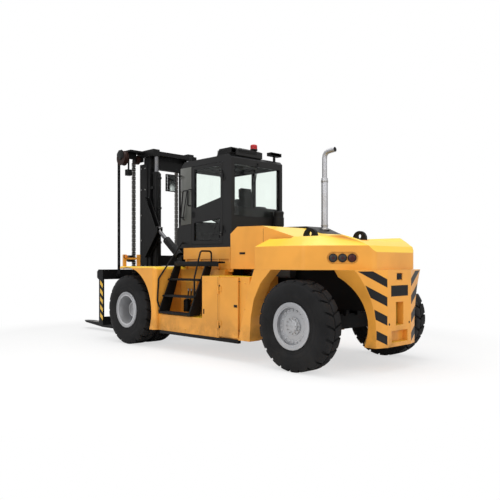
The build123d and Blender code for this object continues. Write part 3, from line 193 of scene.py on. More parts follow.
@dataclass(frozen=True)
class Effect:
    """A shader group that several finishes use, built once."""

    name: str
    inputs: Mapping[str, float]
    outputs: tuple[str, ...]
    draw: Callable[[Graph, Sockets], tuple[Socket, ...]]

    def tree(self) -> bpy.types.NodeTree:
        """Build the group, or give the one already built."""
        found = bpy.data.node_groups.get(self.name)
        if found:
            return found
        tree = bpy.data.node_groups.new(self.name, "ShaderNodeTree")
        for label, value in self.inputs.items():
            tree.interface.new_socket(label, in_out="INPUT", socket_type="NodeSocketFloat").default_value = value
        for label in self.outputs:
            tree.interface.new_socket(label, in_out="OUTPUT", socket_type="NodeSocketFloat")
        graph = Graph(tree)
        given, ends = tree.nodes.new("NodeGroupInput").outputs, tree.nodes.new("NodeGroupOutput").inputs
        for label, made in zip(self.outputs, self.draw(graph, given)):
            graph.feed(ends[label], made)
        return tree


def draw_edge_wear(graph: Graph, given: Sockets) -> tuple[Socket, ...]:
    """Draw the mask of rubbed edges: where the rounded normal leaves the face normal, broken by noise."""
    rounded = graph.add("Bevel", samples=BEVEL_SAMPLES, Radius=given["Radius"]).outputs["Normal"]
    turn = graph.add("VectorMath", operation="DOT_PRODUCT")
    for end, normal in zip(turn.inputs, (rounded, graph.normal())):
        graph.feed(end, normal)
    edge = graph.ramp(turn.outputs["Value"], 0.995, 0.90)
    spots = graph.ramp(graph.noise(Detail=6.0, Roughness=0.7, Scale=given["Breakup"]), 0.50, 0.66)
    return (graph.math("MULTIPLY", graph.math("MULTIPLY", edge, spots), given["Amount"]),)


def draw_dust_and_low_shade(graph: Graph, given: Sockets) -> tuple[Socket, ...]:
    """Draw a mask that is strongest near the ground and in noisy patches, and fine specks; it lays dust on most
    finishes and painted shade near the ground on the yellow paint.
    """
    low = graph.ramp(graph.math("DIVIDE", graph.z_of(graph.place()), given["Height"]), 1.0, 0.0)
    cloud = graph.ramp(graph.noise(Scale=2.6, Detail=7.0, Roughness=0.62), 0.35, 0.72)
    dust = graph.math("MULTIPLY", graph.math("ADD", low, given["Base"]), cloud)
    return graph.math("MULTIPLY", dust, given["Amount"]), graph.noise(Scale=90.0, Detail=3.0)


def draw_painted_top_light(graph: Graph, given: Sockets) -> tuple[Socket, ...]:
    """Draw the mask of faces that look up, where painted top light makes the paint paler and yellower."""
    return (graph.ramp(graph.z_of(graph.normal()), given["Low"], given["High"]),)


def draw_skin_grain(graph: Graph, given: Sockets) -> tuple[Socket, ...]:
    """Draw a fine height grain and a slow tone change, as on enamel, castings and moulded skins."""
    fine = graph.noise(Detail=4.0, Roughness=0.55, Scale=given["Scale"])
    return fine, graph.noise(Detail=3.0, Scale=given["Tone Scale"])


def draw_cloth_weave(graph: Graph, given: Sockets) -> tuple[Socket, ...]:
    """Draw crossed threads as height and tone."""
    waves = []
    for way in ("X", "Y"):
        wave = graph.add("TexWave", wave_type="BANDS", bands_direction=way, Vector=graph.place(), Distortion=0.6)
        waves.append(graph.fill(wave, Scale=given["Threads"]).outputs["Fac"])
    return graph.math("MAXIMUM", *waves), graph.noise(Scale=35.0, Detail=5.0)


EDGE_WEAR = Effect("edge_wear", {"Radius": 0.012, "Breakup": 14.0, "Amount": 0.5}, ("Mask",), draw_edge_wear)
DUST_AND_LOW_SHADE = Effect("dust_and_low_shade", {"Height": 1.2, "Amount": 0.3, "Base": 0.18}, ("Mask", "Speck"), draw_dust_and_low_shade)
PAINTED_TOP_LIGHT = Effect("painted_top_light", {"Low": 0.12, "High": 0.60}, ("Mask",), draw_painted_top_light)
SKIN_GRAIN = Effect("skin_grain", {"Scale": 160.0, "Tone Scale": 1.1}, ("Height", "Tone"), draw_skin_grain)
CLOTH_WEAVE = Effect("cloth_weave", {"Threads": 420.0}, ("Height", "Tone"), draw_cloth_weave)


def toned(colour: Row, factor: float) -> Row:
    """Make a colour lighter or darker by a factor."""
    return tuple(min(1.0, value * factor) for value in colour)


@dataclass(frozen=True)
class Finish:
    """A material that is built at its first use."""

    name: str

    def material(self) -> bpy.types.Material:
        """Build the finish, or give the one already built."""
        found = bpy.data.materials.get(self.name)
        if found:
            return found
        made = bpy.data.materials.new(self.name)
        made.use_nodes = True
        self._draw(Graph(made.node_tree), made.node_tree.nodes["Principled BSDF"])
        return made

    def _draw(self, graph: Graph, shader: bpy.types.Node) -> None:
        """Fill the material's shader; each kind of finish has its own way."""
        raise NotImplementedError


@dataclass(frozen=True)
class Enamel(Finish):
    """Sprayed paint on sheet metal or a casting, with rubbed edges, dust and a light orange peel; on the yellow the
    dust colour is painted shade near the ground.
    """

    colour: Row
    under: Row = (0.10, 0.10, 0.10)
    # Colour laid by the dust mask: dust on most finishes, and on the yellow finishes a darker yellow that paints shade
    # near the ground.
    dust: Row = (0.42, 0.36, 0.28)
    roughness: float = 0.34
    metallic: float = 0.0
    coat: float = 0.25
    wear: float = 0.35
    dust_and_shade_amount: float = 0.25
    grain: float = 160.0
    peel: float = 0.02
    edge: float = 0.010
    tone: float = 0.10
    shine: float = 0.5
    low: float = 1.2
    base: float = 0.18
    # Colour of faces that look up: painted top light, paler and yellower where the light from above falls.
    top: Optional[Row] = None

    def _draw(self, graph: Graph, shader: bpy.types.Node) -> None:
        """Lay paint, painted top light, bare edges and dust over one another; on the yellow the dust paints shade near
        the ground.
        """
        grain = graph.group(SKIN_GRAIN, Scale=self.grain)
        wear = graph.group(EDGE_WEAR, Radius=self.edge, Amount=self.wear)
        dust = graph.group(DUST_AND_LOW_SHADE, Height=self.low, Amount=self.dust_and_shade_amount, Base=self.base)
        dark, light = (toned(self.colour, 1.0 + side * self.tone) for side in (-1.0, 1.0))
        paint = graph.mix(graph.ramp(grain["Tone"], 0.3, 0.7), dark, light)
        # Painted top light: faces that look up take the paler, yellower top colour.
        if self.top:
            paint = graph.mix(graph.group(PAINTED_TOP_LIGHT)["Mask"], paint, self.top)
        paint = graph.mix(wear["Mask"], paint, self.under)
        # Dust mask: dust on most finishes, painted shade near the ground on the yellow ones.
        paint = graph.mix(dust["Mask"], paint, self.dust)
        rough = graph.span(dust["Speck"], self.roughness - 0.05, self.roughness + 0.09)
        rough = graph.math("ADD", rough, graph.math("MULTIPLY", dust["Mask"], 0.4))
        rounded = graph.add("Bevel", samples=BEVEL_SAMPLES, Radius=self.edge * 0.6).outputs["Normal"]
        normal = graph.bump(grain["Height"], self.peel * 6.0, 0.002, Normal=rounded)
        graph.fill(shader, Base_Color=paint, Roughness=rough, Normal=normal, Metallic=self.metallic)
        graph.fill(shader, Coat_Weight=self.coat, Coat_Roughness=0.12, Specular_IOR_Level=self.shine)


@dataclass(frozen=True)
class Rubber(Finish):
    """Tyre and hose rubber with a fine matt skin and dust in its low places."""

    colour: Row = (0.0085, 0.0085, 0.009)
    dust: Row = (0.055, 0.050, 0.043)
    roughness: float = 0.66
    dust_and_shade_amount: float = 0.16
    grain: float = 220.0

    def _draw(self, graph: Graph, shader: bpy.types.Node) -> None:
        """Lay dust over a skin that changes slowly in tone."""
        grain = graph.group(SKIN_GRAIN, Scale=self.grain, Tone_Scale=3.0)
        dust = graph.group(DUST_AND_LOW_SHADE, Height=1.6, Amount=self.dust_and_shade_amount)
        skin = graph.mix(graph.ramp(grain["Tone"], 0.3, 0.72), self.colour, toned(self.colour, 1.7))
        rough = graph.span(dust["Speck"], self.roughness - 0.08, self.roughness + 0.14)
        normal = graph.bump(grain["Height"], 0.25, 0.002)
        graph.fill(shader, Base_Color=graph.mix(dust["Mask"], skin, self.dust), Roughness=rough, Normal=normal)
        graph.fill(shader, Specular_IOR_Level=0.12)


@dataclass(frozen=True)
class BrightMetal(Finish):
    """Chrome, polished or bare steel with faint brushing and stains."""

    colour: Row
    stain: Row = (0.20, 0.17, 0.13)
    roughness: float = 0.14
    stained: float = 0.25

    def _draw(self, graph: Graph, shader: bpy.types.Node) -> None:
        """Lay blotches over the metal and vary its shine."""
        grain = graph.group(SKIN_GRAIN, Scale=75.0, Tone_Scale=4.0)
        blotch = graph.math("MULTIPLY", graph.ramp(grain["Tone"], 0.45, 0.75), self.stained)
        rough = graph.span(grain["Height"], self.roughness * 0.7, self.roughness * 1.5)
        normal = graph.bump(grain["Height"], 0.06, 0.001)
        graph.fill(shader, Base_Color=graph.mix(blotch, self.colour, self.stain), Roughness=rough, Normal=normal)
        graph.fill(shader, Metallic=1.0)


@dataclass(frozen=True)
class Glass(Finish):
    """Clear safety glass, tinted, with a little dust on it."""

    tint: Row = (0.93, 0.975, 0.945)
    film_colour: Row = (0.5, 0.5, 0.47)
    roughness: float = 0.02
    film: float = 0.04

    def _draw(self, graph: Graph, shader: bpy.types.Node) -> None:
        """Let light through and lay a film of dust on it."""
        dust = graph.group(DUST_AND_LOW_SHADE, Height=5.0, Amount=self.film)["Mask"]
        rough = graph.math("MULTIPLY_ADD", dust, 0.3, self.roughness)
        graph.fill(shader, Base_Color=graph.mix(dust, self.tint, self.film_colour), Roughness=rough)
        graph.fill(shader, IOR=1.2, Transmission_Weight=1.0)


@dataclass(frozen=True)
class Lens(Finish):
    """Moulded lamp lens with fine ribs over a bright back."""

    colour: Row
    ribs: float = 260.0

    def _draw(self, graph: Graph, shader: bpy.types.Node) -> None:
        """Draw the ribs as tone and height."""
        wave = graph.add("TexWave", bands_direction="DIAGONAL", Scale=self.ribs, Vector=graph.place()).outputs["Fac"]
        body = graph.mix(wave, toned(self.colour, 0.55), self.colour)
        graph.fill(shader, Base_Color=body, Normal=graph.bump(wave, 0.3, 0.002))
        graph.fill(shader, Roughness=0.22, Specular_IOR_Level=0.25, Coat_Weight=0.12)


@dataclass(frozen=True)
class Cloth(Finish):
    """Woven seat cloth."""

    colour: Row = (0.020, 0.020, 0.022)
    fleck: Row = (0.055, 0.055, 0.06)
    threads: float = 420.0

    def _draw(self, graph: Graph, shader: bpy.types.Node) -> None:
        """Draw the weave with paler flecks."""
        weave = graph.group(CLOTH_WEAVE, Threads=self.threads)
        thread = graph.math("MULTIPLY", weave["Height"], graph.ramp(weave["Tone"], 0.35, 0.7))
        normal = graph.bump(weave["Height"], 0.5, 0.0015)
        graph.fill(shader, Base_Color=graph.mix(thread, self.colour, self.fleck), Normal=normal)
        graph.fill(shader, Roughness=0.85, Sheen_Weight=0.35, Sheen_Roughness=0.4)


# The yellow's dark orange dust colour, laid strongly below about a metre, is painted shade low on the sides, broken
# into patches; its top colour is painted top light.
YELLOW = Enamel(
    "yellow_enamel", (0.80, 0.35, 0.050), top=(0.90, 0.58, 0.035), dust=(0.16, 0.085, 0.02), dust_and_shade_amount=1.0, low=0.95,
    base=0.03, wear=0.15, roughness=0.36, shine=0.3, coat=0.15,
)
# The cast yellow keeps the yellow's painted top light and its painted shade near the ground.
CAST_YELLOW = replace(YELLOW, name="cast_yellow_enamel", roughness=0.34, grain=70.0, peel=0.03, edge=0.018)
# A darker copy of the yellow for the back of the tow channel: painted shade in the recess.
PAINTED_SHADE_YELLOW = Enamel(
    "channel_painted_shade_yellow", (0.36, 0.20, 0.022), dust_and_shade_amount=0.3, dust=(0.10, 0.06, 0.02), wear=0.1, shine=0.2, coat=0.0
)
STRIPE_YELLOW = Enamel("stripe_yellow", (0.85, 0.50, 0.03), dust_and_shade_amount=0.08, wear=0.2)
BLACK = Enamel(
    "black_enamel", (0.0065, 0.0065, 0.0068), under=(0.07, 0.065, 0.06), dust=(0.05, 0.046, 0.04), dust_and_shade_amount=0.08,
    coat=0.0, roughness=0.44, wear=0.16, shine=0.12,
)
GREY = replace(
    BLACK, name="cab_grey_enamel", colour=(0.0105, 0.0105, 0.011), under=(0.06, 0.06, 0.06), dust_and_shade_amount=0.05,
    roughness=0.40, wear=0.14, shine=0.18,
)
MOULDED = replace(
    BLACK, name="moulded_black_plastic", colour=(0.010, 0.010, 0.0105), under=(0.03, 0.03, 0.03), dust_and_shade_amount=0.06,
    roughness=0.54, wear=0.35, grain=320.0, peel=0.05, shine=0.14,
)
SILVER = Enamel(
    "rim_silver_enamel", (0.37, 0.375, 0.39), under=(0.16, 0.155, 0.15), metallic=0.8, roughness=0.32, dust_and_shade_amount=0.14,
    coat=0.1, shine=0.3,
)
# A lighter copy of the rim silver for the drive rims: painted light that lifts their deep dishes out of their own
# shade.
PAINTED_LIGHT_SILVER = replace(
    SILVER, name="drive_rim_painted_light_silver", colour=(0.56, 0.565, 0.58), metallic=0.6, roughness=0.34, dust_and_shade_amount=0.10
)
CAST_GREY = Enamel("cast_grey_iron", (0.05, 0.05, 0.052), roughness=0.6, grain=60.0, peel=0.06)
GRIP = Enamel(
    "anti_slip_coat", (0.018, 0.017, 0.016), under=(0.03, 0.03, 0.03), coat=0.0, roughness=0.8, grain=420.0,
    peel=0.16, dust_and_shade_amount=0.05,
)
STRIPE_BLACK = Enamel(
    "stripe_black_film", (0.0085, 0.0085, 0.009), under=(0.30, 0.14, 0.02), dust_and_shade_amount=0.05, coat=0.0, roughness=0.40,
    edge=0.004, shine=0.16,
)
SHEAVE_BROWN = Enamel(
    "sheave_brown_enamel", (0.022, 0.008, 0.006), under=(0.05, 0.04, 0.04), dust_and_shade_amount=0.05, coat=0.0, roughness=0.5,
    shine=0.16,
)
# Opaque dark sheet over the cab's front corner window: painted shade of the unlit cab inside seen through it.
CORNER_PANE_SHADE = Enamel(
    "painted_shade_corner_pane", (0.085, 0.087, 0.078), coat=0.3, roughness=0.12, wear=0.0, dust_and_shade_amount=0.03, shine=0.3
)
WORN = Enamel(
    "fork_worn_top", (0.020, 0.019, 0.018), under=(0.12, 0.11, 0.10), coat=0.0, metallic=0.6, roughness=0.42,
    wear=0.6, grain=90.0, peel=0.06,
)
TYRE = Rubber("tyre_rubber")
HOSE = Rubber("hose_rubber", colour=(0.011, 0.011, 0.012), roughness=0.5)
SEAL = Rubber("window_seal_rubber", colour=(0.008, 0.008, 0.009), roughness=0.55, dust_and_shade_amount=0.08)
CHROME = BrightMetal("chrome", (0.44, 0.45, 0.48), roughness=0.16, stained=0.15)
PIPE_STEEL = BrightMetal("exhaust_steel", (0.36, 0.36, 0.375), roughness=0.42)
ROD = BrightMetal("oiled_rod_steel", (0.10, 0.10, 0.105), roughness=0.20, stained=0.2)
STEEL = BrightMetal("bare_steel", (0.30, 0.295, 0.29), roughness=0.32, stained=0.35)
OILED = BrightMetal("oiled_chain_steel", (0.10, 0.095, 0.09), roughness=0.34, stained=0.5)
PANE = Glass("safety_glass")
CLEAR_LENS = Lens("clear_lamp_lens", (0.72, 0.74, 0.76))
RED_LENS = Lens("red_lamp_lens", (0.50, 0.006, 0.010))
DEEP_RED_LENS = Lens("deep_red_lamp_lens", (0.060, 0.005, 0.006))
AMBER_LENS = Lens("amber_lamp_lens", (0.75, 0.22, 0.01))
SMOKED_LENS = Lens("smoked_lamp_lens", (0.030, 0.028, 0.027))
SEAT_CLOTH = Cloth("seat_cloth")

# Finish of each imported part.
NODE_FINISH = {
    YELLOW: "front_fenders side_panels side_box box_lid right_tank hood cab_plinth",
    CAST_YELLOW: "counterweight",
    BLACK: "main_frame drive_axle steer_axle lifting_lugs stairs handrails outer_mast lift_barrels inner_mast carriage"
    " fork_left fork_right tilt_barrel_left tilt_barrel_right knuckle_left knuckle_right mast_lamps lamps",
    GREY: "louvre_panel cab_shell cab_door roof_unit",
    SILVER: "steer_rim_left steer_rim_right",
    PAINTED_LIGHT_SILVER: "drive_rims_left drive_rims_right",
    CAST_GREY: "engine_block",
    MOULDED: "mirrors cab_fittings",
    TYRE: "drive_tyres_left drive_tyres_right steer_tyre_left steer_tyre_right",
    HOSE: "carriage_hoses",
    PIPE_STEEL: "exhaust_stack",
    ROD: "lift_rods tilt_rod_left tilt_rod_right",
    SHEAVE_BROWN: "sheaves",
    OILED: "lift_chains",
    PANE: "cab_glazing door_glass",
    RED_LENS: "beacon",
    SEAT_CLOTH: "seat_cushions",
}


def dress_packed_parts() -> None:
    """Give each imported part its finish."""
    for finish, names in NODE_FINISH.items():
        for name in names.split():
            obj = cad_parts[name]
            obj.data.materials.clear()
            obj.data.materials.append(finish.material())
            LOG.info("finish %s on %s", finish.name, name)


def around(middle: float, half: float) -> Span:
    """Give the span that reaches half to both sides of a middle."""
    return middle - half, middle + half


def verts_of(geom: Iterable[object]) -> list[bmesh.types.BMVert]:
    """Pick the vertices out of an operator's result."""
    return [item for item in geom if isinstance(item, bmesh.types.BMVert)]


class Form:
    """One closed shape under work, in metres from the front axle."""

    def __init__(self) -> None:
        """Start with an empty mesh."""
        self.mesh = bmesh.new()

    def outline(self, corners: Iterable[Row]) -> bmesh.types.BMFace:
        """Add a flat face with its corners in order."""
        return self.mesh.faces.new([self.mesh.verts.new(corner) for corner in corners])

    def geom(self) -> list[object]:
        """List all vertices, edges and faces."""
        return [*self.mesh.verts, *self.mesh.edges, *self.mesh.faces]

    def facing(self) -> "Form":
        """Turn all faces outwards."""
        bmesh.ops.recalc_face_normals(self.mesh, faces=self.mesh.faces)
        return self

    def drawn(self, faces: Sequence[bmesh.types.BMFace], depth: Row) -> "Form":
        """Draw faces out by a vector."""
        made = bmesh.ops.extrude_face_region(self.mesh, geom=faces)["geom"]
        bmesh.ops.translate(self.mesh, vec=Vector(depth), verts=verts_of(made))
        return self.facing()

    @classmethod
    def block(cls, x: Span, y: Span, z: Span) -> "Form":
        """Make a block from its low and high value along each axis."""
        form = cls()
        low, high = (Vector([pick(span) for span in (x, y, z)]) for pick in (min, max))
        bmesh.ops.create_cube(form.mesh, size=1.0)
        bmesh.ops.scale(form.mesh, vec=high - low, verts=form.mesh.verts)
        bmesh.ops.translate(form.mesh, vec=(low + high) / 2.0, verts=form.mesh.verts)
        return form

    @classmethod
    def rod(cls, start: Row, end: Row, radius: float, sides: int = 20) -> "Form":
        """Make a round or many sided bar.

        Args:
            start: First end's middle.
            end: Far end's middle.
            radius: Its radius.
            sides: Number of faces round it.

        Returns:
            The new form.
        """
        form = cls()
        run = Vector(end) - Vector(start)
        size = {"radius1": radius, "radius2": radius, "depth": run.length}
        bmesh.ops.create_cone(form.mesh, cap_ends=True, segments=sides, **size)
        turn = run.to_track_quat("Z", "Y").to_matrix().to_4x4()
        place = Matrix.Translation((Vector(start) + Vector(end)) / 2.0) @ turn
        bmesh.ops.transform(form.mesh, matrix=place, verts=form.mesh.verts)
        return form

    @classmethod
    def plate(cls, corners: Iterable[Row], depth: Row) -> "Form":
        """Draw a flat outline out by a vector."""
        form = cls()
        return form.drawn([form.outline(corners)], depth)

    @classmethod
    def lathe(cls, rows: Sequence[Row], centre: Row, axis: Row, steps: int = 48, closed: bool = False) -> "Form":
        """Turn a section about an axis.

        Args:
            rows: Section as (distance along the axis, radius) rows.
            centre: Point on the axis that distances start from.
            axis: Direction of the axis.
            steps: Number of faces round it.
            closed: Whether the section ends where it starts, as a ring's does.

        Returns:
            The new form.
        """
        form = cls()
        along, middle = Vector(axis).normalized(), Vector(centre)
        across = along.orthogonal().normalized()
        section = [*rows, rows[0]] if closed else rows
        verts = [form.mesh.verts.new(middle + along * row[0] + across * row[1]) for row in section]
        edges = [form.mesh.edges.new(pair) for pair in zip(verts, verts[1:])]
        bmesh.ops.spin(
            form.mesh, geom=[*verts, *edges], cent=middle, axis=along, angle=math.tau, steps=steps, use_merge=True
        )
        bmesh.ops.remove_doubles(form.mesh, verts=form.mesh.verts, dist=1e-5)
        return form.facing()

    @classmethod
    def swept(cls, corners: Iterable[Row], centre: Row, axis: Row, angle: float, steps: int) -> "Form":
        """Sweep a flat outline round an axis by part of a turn.

        Args:
            corners: The outline's points in order.
            centre: Point on the axis.
            axis: Direction of the axis.
            angle: Turn in degrees.
            steps: Number of faces along the turn.

        Returns:
            The new form.
        """
        form = cls()
        face = form.outline(corners)
        geom = [face, *face.edges, *face.verts]
        turn = {"cent": Vector(centre), "axis": Vector(axis), "angle": math.radians(angle)}
        bmesh.ops.spin(form.mesh, geom=geom, steps=steps, **turn)
        return form.facing()

    @classmethod
    def pipe(cls, points: Sequence[Row], radius: float, sides: int = 10) -> "Form":
        """Draw a round pipe along a row of points.

        Args:
            points: The pipe's middle line.
            radius: Its radius.
            sides: Number of faces round it.

        Returns:
            The new form.
        """
        form = cls()
        path = [Vector(point) for point in points]
        runs = [(b - a).normalized() for a, b in zip(path, path[1:])]
        heads = [runs[0], *[(a + b).normalized() for a, b in zip(runs, runs[1:])], runs[-1]]
        turn = heads[0].to_track_quat("Z", "Y")
        made = bmesh.ops.create_circle(form.mesh, cap_ends=True, radius=radius, segments=sides)
        place = Matrix.Translation(path[0]) @ turn.to_matrix().to_4x4()
        bmesh.ops.transform(form.mesh, matrix=place, verts=made["verts"])
        face = form.mesh.faces[:][0]
        for point, head, last in zip(path[1:], heads[1:], heads):
            turn = last.rotation_difference(head) @ turn
            grown = bmesh.ops.extrude_face_region(form.mesh, geom=[face])["geom"]
            face = next(item for item in grown if isinstance(item, bmesh.types.BMFace))
            target = Matrix.Translation(point) @ turn.to_matrix().to_4x4()
            bmesh.ops.transform(form.mesh, matrix=target @ place.inverted(), verts=verts_of(grown))
            place = target
        return form.facing()

    def bevel(self, offset: float, segments: int = 2, limit: float = 25.0) -> "Form":
        """Round the edges.

        Args:
            offset: Width of the rounding.
            segments: Faces across it.
            limit: Edges that bend less than these degrees stay.

        Returns:
            This form.
        """
        bend = math.radians(limit)
        sharp = [edge for edge in self.mesh.edges if edge.is_manifold and edge.calc_face_angle(0.0) > bend]
        bmesh.ops.bevel(
            self.mesh, geom=sharp, offset=offset, offset_type="OFFSET", segments=segments, profile=0.5,
            affect="EDGES", clamp_overlap=True, material=-1,
        )
        return self

    def ring(self, centre: Row, axis: Row, count: int) -> "Form":
        """Repeat the form evenly round an axis through a centre, count times with the first."""
        turn = {"cent": Vector(centre), "axis": Vector(axis), "angle": math.tau * (count - 1) / count}
        bmesh.ops.spin(self.mesh, geom=self.geom(), steps=count - 1, use_duplicate=True, **turn)
        return self

    def row(self, step: Row, count: int) -> "Form":
        """Repeat the form in a straight row, count times with the first."""
        geom = self.geom()
        for index in range(1, count):
            made = bmesh.ops.duplicate(self.mesh, geom=geom)["geom"]
            bmesh.ops.translate(self.mesh, vec=Vector(step) * index, verts=verts_of(made))
        return self

    def turn(self, degrees: float, axis: str, centre: Row) -> "Form":
        """Turn the form about the named axis through a centre."""
        spin = Matrix.Rotation(math.radians(degrees), 3, axis)
        bmesh.ops.rotate(self.mesh, cent=Vector(centre), matrix=spin, verts=self.mesh.verts)
        return self

    def mirrored(self) -> "Form":
        """Copy the form across the truck's middle plane."""
        copy = Form()
        copy.mesh = self.mesh.copy()
        bmesh.ops.scale(copy.mesh, vec=(1.0, -1.0, 1.0), verts=copy.mesh.verts)
        bmesh.ops.reverse_faces(copy.mesh, faces=copy.mesh.faces)
        return copy


def link_mesh(name: str, mesh: bmesh.types.BMesh) -> bpy.types.Object:
    """Link a mesh as an object, moved from the axle's frame to the truck's.

    Args:
        name: Name of the object.
        mesh: Its shape, which is freed.

    Returns:
        The new object.
    """
    bmesh.ops.translate(mesh, vec=(AXLE_X, 0.0, 0.0), verts=mesh.verts)
    data = bpy.data.meshes.new(name)
    mesh.to_mesh(data)
    mesh.free()
    obj = bpy.data.objects.new(name, data)
    bpy.context.scene.collection.objects.link(obj)
    return obj


class Piece:
    """A finished object made of forms, on one body of the truck."""

    def __init__(self, name: str, body: Body, slot: Slot, both: bool = False) -> None:
        """Start with no forms.

        Args:
            name: Name of the object.
            body: Body that it rides on.
            slot: Slot of the record; not used.
            both: Whether the mirror image of every form comes too.
        """
        self.name = name
        self.body = body
        self.slot = slot
        self.both = both
        self.mesh = bmesh.new()
        self.finishes: list[Finish] = []

    def add(self, finish: Finish, *forms: Form, both: bool = False) -> None:
        """Take in forms of one finish.

        Args:
            finish: Their finish.
            forms: Shapes to take in, which are freed.
            both: Whether their mirror images come too.
        """
        if finish not in self.finishes:
            self.finishes.append(finish)
        for form in forms:
            for part in [form, form.mirrored()] if both or self.both else [form]:
                for face in part.mesh.faces:
                    face.material_index = self.finishes.index(finish)
                step = bpy.data.meshes.new("step")
                part.mesh.to_mesh(step)
                self.mesh.from_mesh(step)
                bpy.data.meshes.remove(step)
                part.mesh.free()

    def place(self, *replaced: str) -> bpy.types.Object:
        """Make the object and set it on its body.

        Args:
            replaced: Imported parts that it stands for.

        Returns:
            The new object.
        """
        obj = link_mesh(self.name, self.mesh)
        for finish in self.finishes:
            obj.data.materials.append(finish.material())
        obj.data.shade_smooth()
        obj.data.set_sharp_from_angle(angle=math.radians(SHARP_ANGLE))
        if replaced:
            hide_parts(*replaced)
        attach(obj, self.body.value)
        LOG.info("piece %s on %s, %d faces", self.name, self.body.value, len(obj.data.polygons))
        return obj


def hex_bolt(place: Row, out: Row, size: float) -> Form:
    """Make a hexagon bolt head on its washer.

    Args:
        place: Point on the face that it sits on.
        out: Direction away from that face.
        size: Radius of the head.

    Returns:
        The new form.
    """
    rows = [
        (-0.002, 0.0), (-0.002, size * 1.45), (size * 0.25, size * 1.45), (size * 0.3, size * 1.1),
        (size * 1.0, size), (size * 1.2, size * 0.8), (size * 1.2, 0.0),
    ]
    return Form.lathe(rows, place, out, steps=6)


def bolts(places: Iterable[Row], out: Row, size: float) -> list[Form]:
    """Make a bolt head at each place."""
    return [hex_bolt(place, out, size) for place in places]


@dataclass(frozen=True)
class Wheel:
    """One wheel set: its packed tyre, the name of its rim's dress, its body, side and axle."""

    tyre: str
    rim: str
    body: Body
    sign: int
    x: float = 0.0

    @property
    def drives(self) -> bool:
        """Tell whether it is a twin on the drive axle."""
        return self.x == 0.0


WHEELS = (
    Wheel("drive_tyres_left", "drive_rim_fittings_left", Body.DRIVE_LEFT, 1),
    Wheel("drive_tyres_right", "drive_rim_fittings_right", Body.DRIVE_RIGHT, -1),
    Wheel("steer_tyre_left", "steer_rim_fittings_left", Body.STEER_LEFT, 1, STEER_X),
    Wheel("steer_tyre_right", "steer_rim_fittings_right", Body.STEER_RIGHT, -1, STEER_X),
)


@dataclass
class TyreSet:
    """Lugged tyres: a turned carcass and two staggered rows of cross lugs."""

    crown: float = 0.7498
    floor: float = 0.716
    lugs: int = 22
    span: float = 13.4
    stagger: float = 1.3
    slant: float = 30.0
    edge: float = 0.007
    inner_y: float = 0.8275

    def _carcass(self, centre: Vector) -> Form:
        """Turn the carcass with its bead, rubbing rings and side bulge about the tyre's middle."""
        side = [
            (0.178, 0.336), (0.178, 0.390), (0.186, 0.399), (0.189, 0.424), (0.1955, 0.436), (0.1955, 0.446),
            (0.1925, 0.450), (0.2005, 0.476), (0.2045, 0.512), (0.2045, 0.520), (0.2015, 0.524), (0.2065, 0.560),
            (0.2072, 0.585), (0.2050, 0.622), (0.1965, 0.660), (0.1830, 0.694), (0.1600, self.floor),
        ]
        rows = [*side, *[(-along, radius) for along, radius in reversed(side)]]
        return Form.lathe(rows, centre, LEFT, steps=88, closed=True)

    def _lugs(self, centre: Vector, sign: int) -> Form:
        """Make one side's ring of lugs.

        Args:
            centre: Middle of the tyre.
            sign: Side of the tread along Y.

        Returns:
            All lugs of that side.
        """
        section = [
            (0.007, 0.690), (0.007, self.crown), (0.096, self.crown), (0.151, self.crown - 0.001),
            (0.1665, 0.743), (0.2065, 0.616), (0.1960, 0.600), (0.1600, 0.690),
        ]
        start = math.radians(-90.0 - self.span / 2.0 + self.stagger * sign)
        corners = [
            centre + Vector((radius * math.cos(start), sign * along, radius * math.sin(start)))
            for along, radius in section
        ]
        lug = Form.swept(corners, centre, (0.0, -1.0, 0.0), self.span, 3).bevel(self.edge)
        for vert in lug.mesh.verts:
            lean = math.radians(self.slant * abs(vert.co.y - centre.y))
            bmesh.ops.rotate(lug.mesh, cent=centre, matrix=Matrix.Rotation(lean, 3, "Y"), verts=[vert])
        return lug.ring(centre, LEFT, self.lugs)

    def build(self) -> None:
        """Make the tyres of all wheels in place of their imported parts."""
        for wheel in WHEELS:
            piece = Piece("lugged_" + wheel.tyre, wheel.body, Slot.TYRE)
            for y in (OUTER_TYRE_Y, self.inner_y) if wheel.drives else (OUTER_TYRE_Y,):
                centre = Vector((wheel.x, wheel.sign * y, AXLE_Z))
                piece.add(TYRE, self._carcass(centre), self._lugs(centre, 1), self._lugs(centre, -1))
            piece.place(wheel.tyre)


@dataclass(frozen=True)
class RimSizes:
    """Distances from the tyre's middle, radii and counts of one kind of rim."""

    disc: float
    nut_r: float
    hub: float
    bolt_r: float
    bolts: int
    cap: float
    cap_r: float
    port_r: Optional[float] = None
    nuts: int = 20


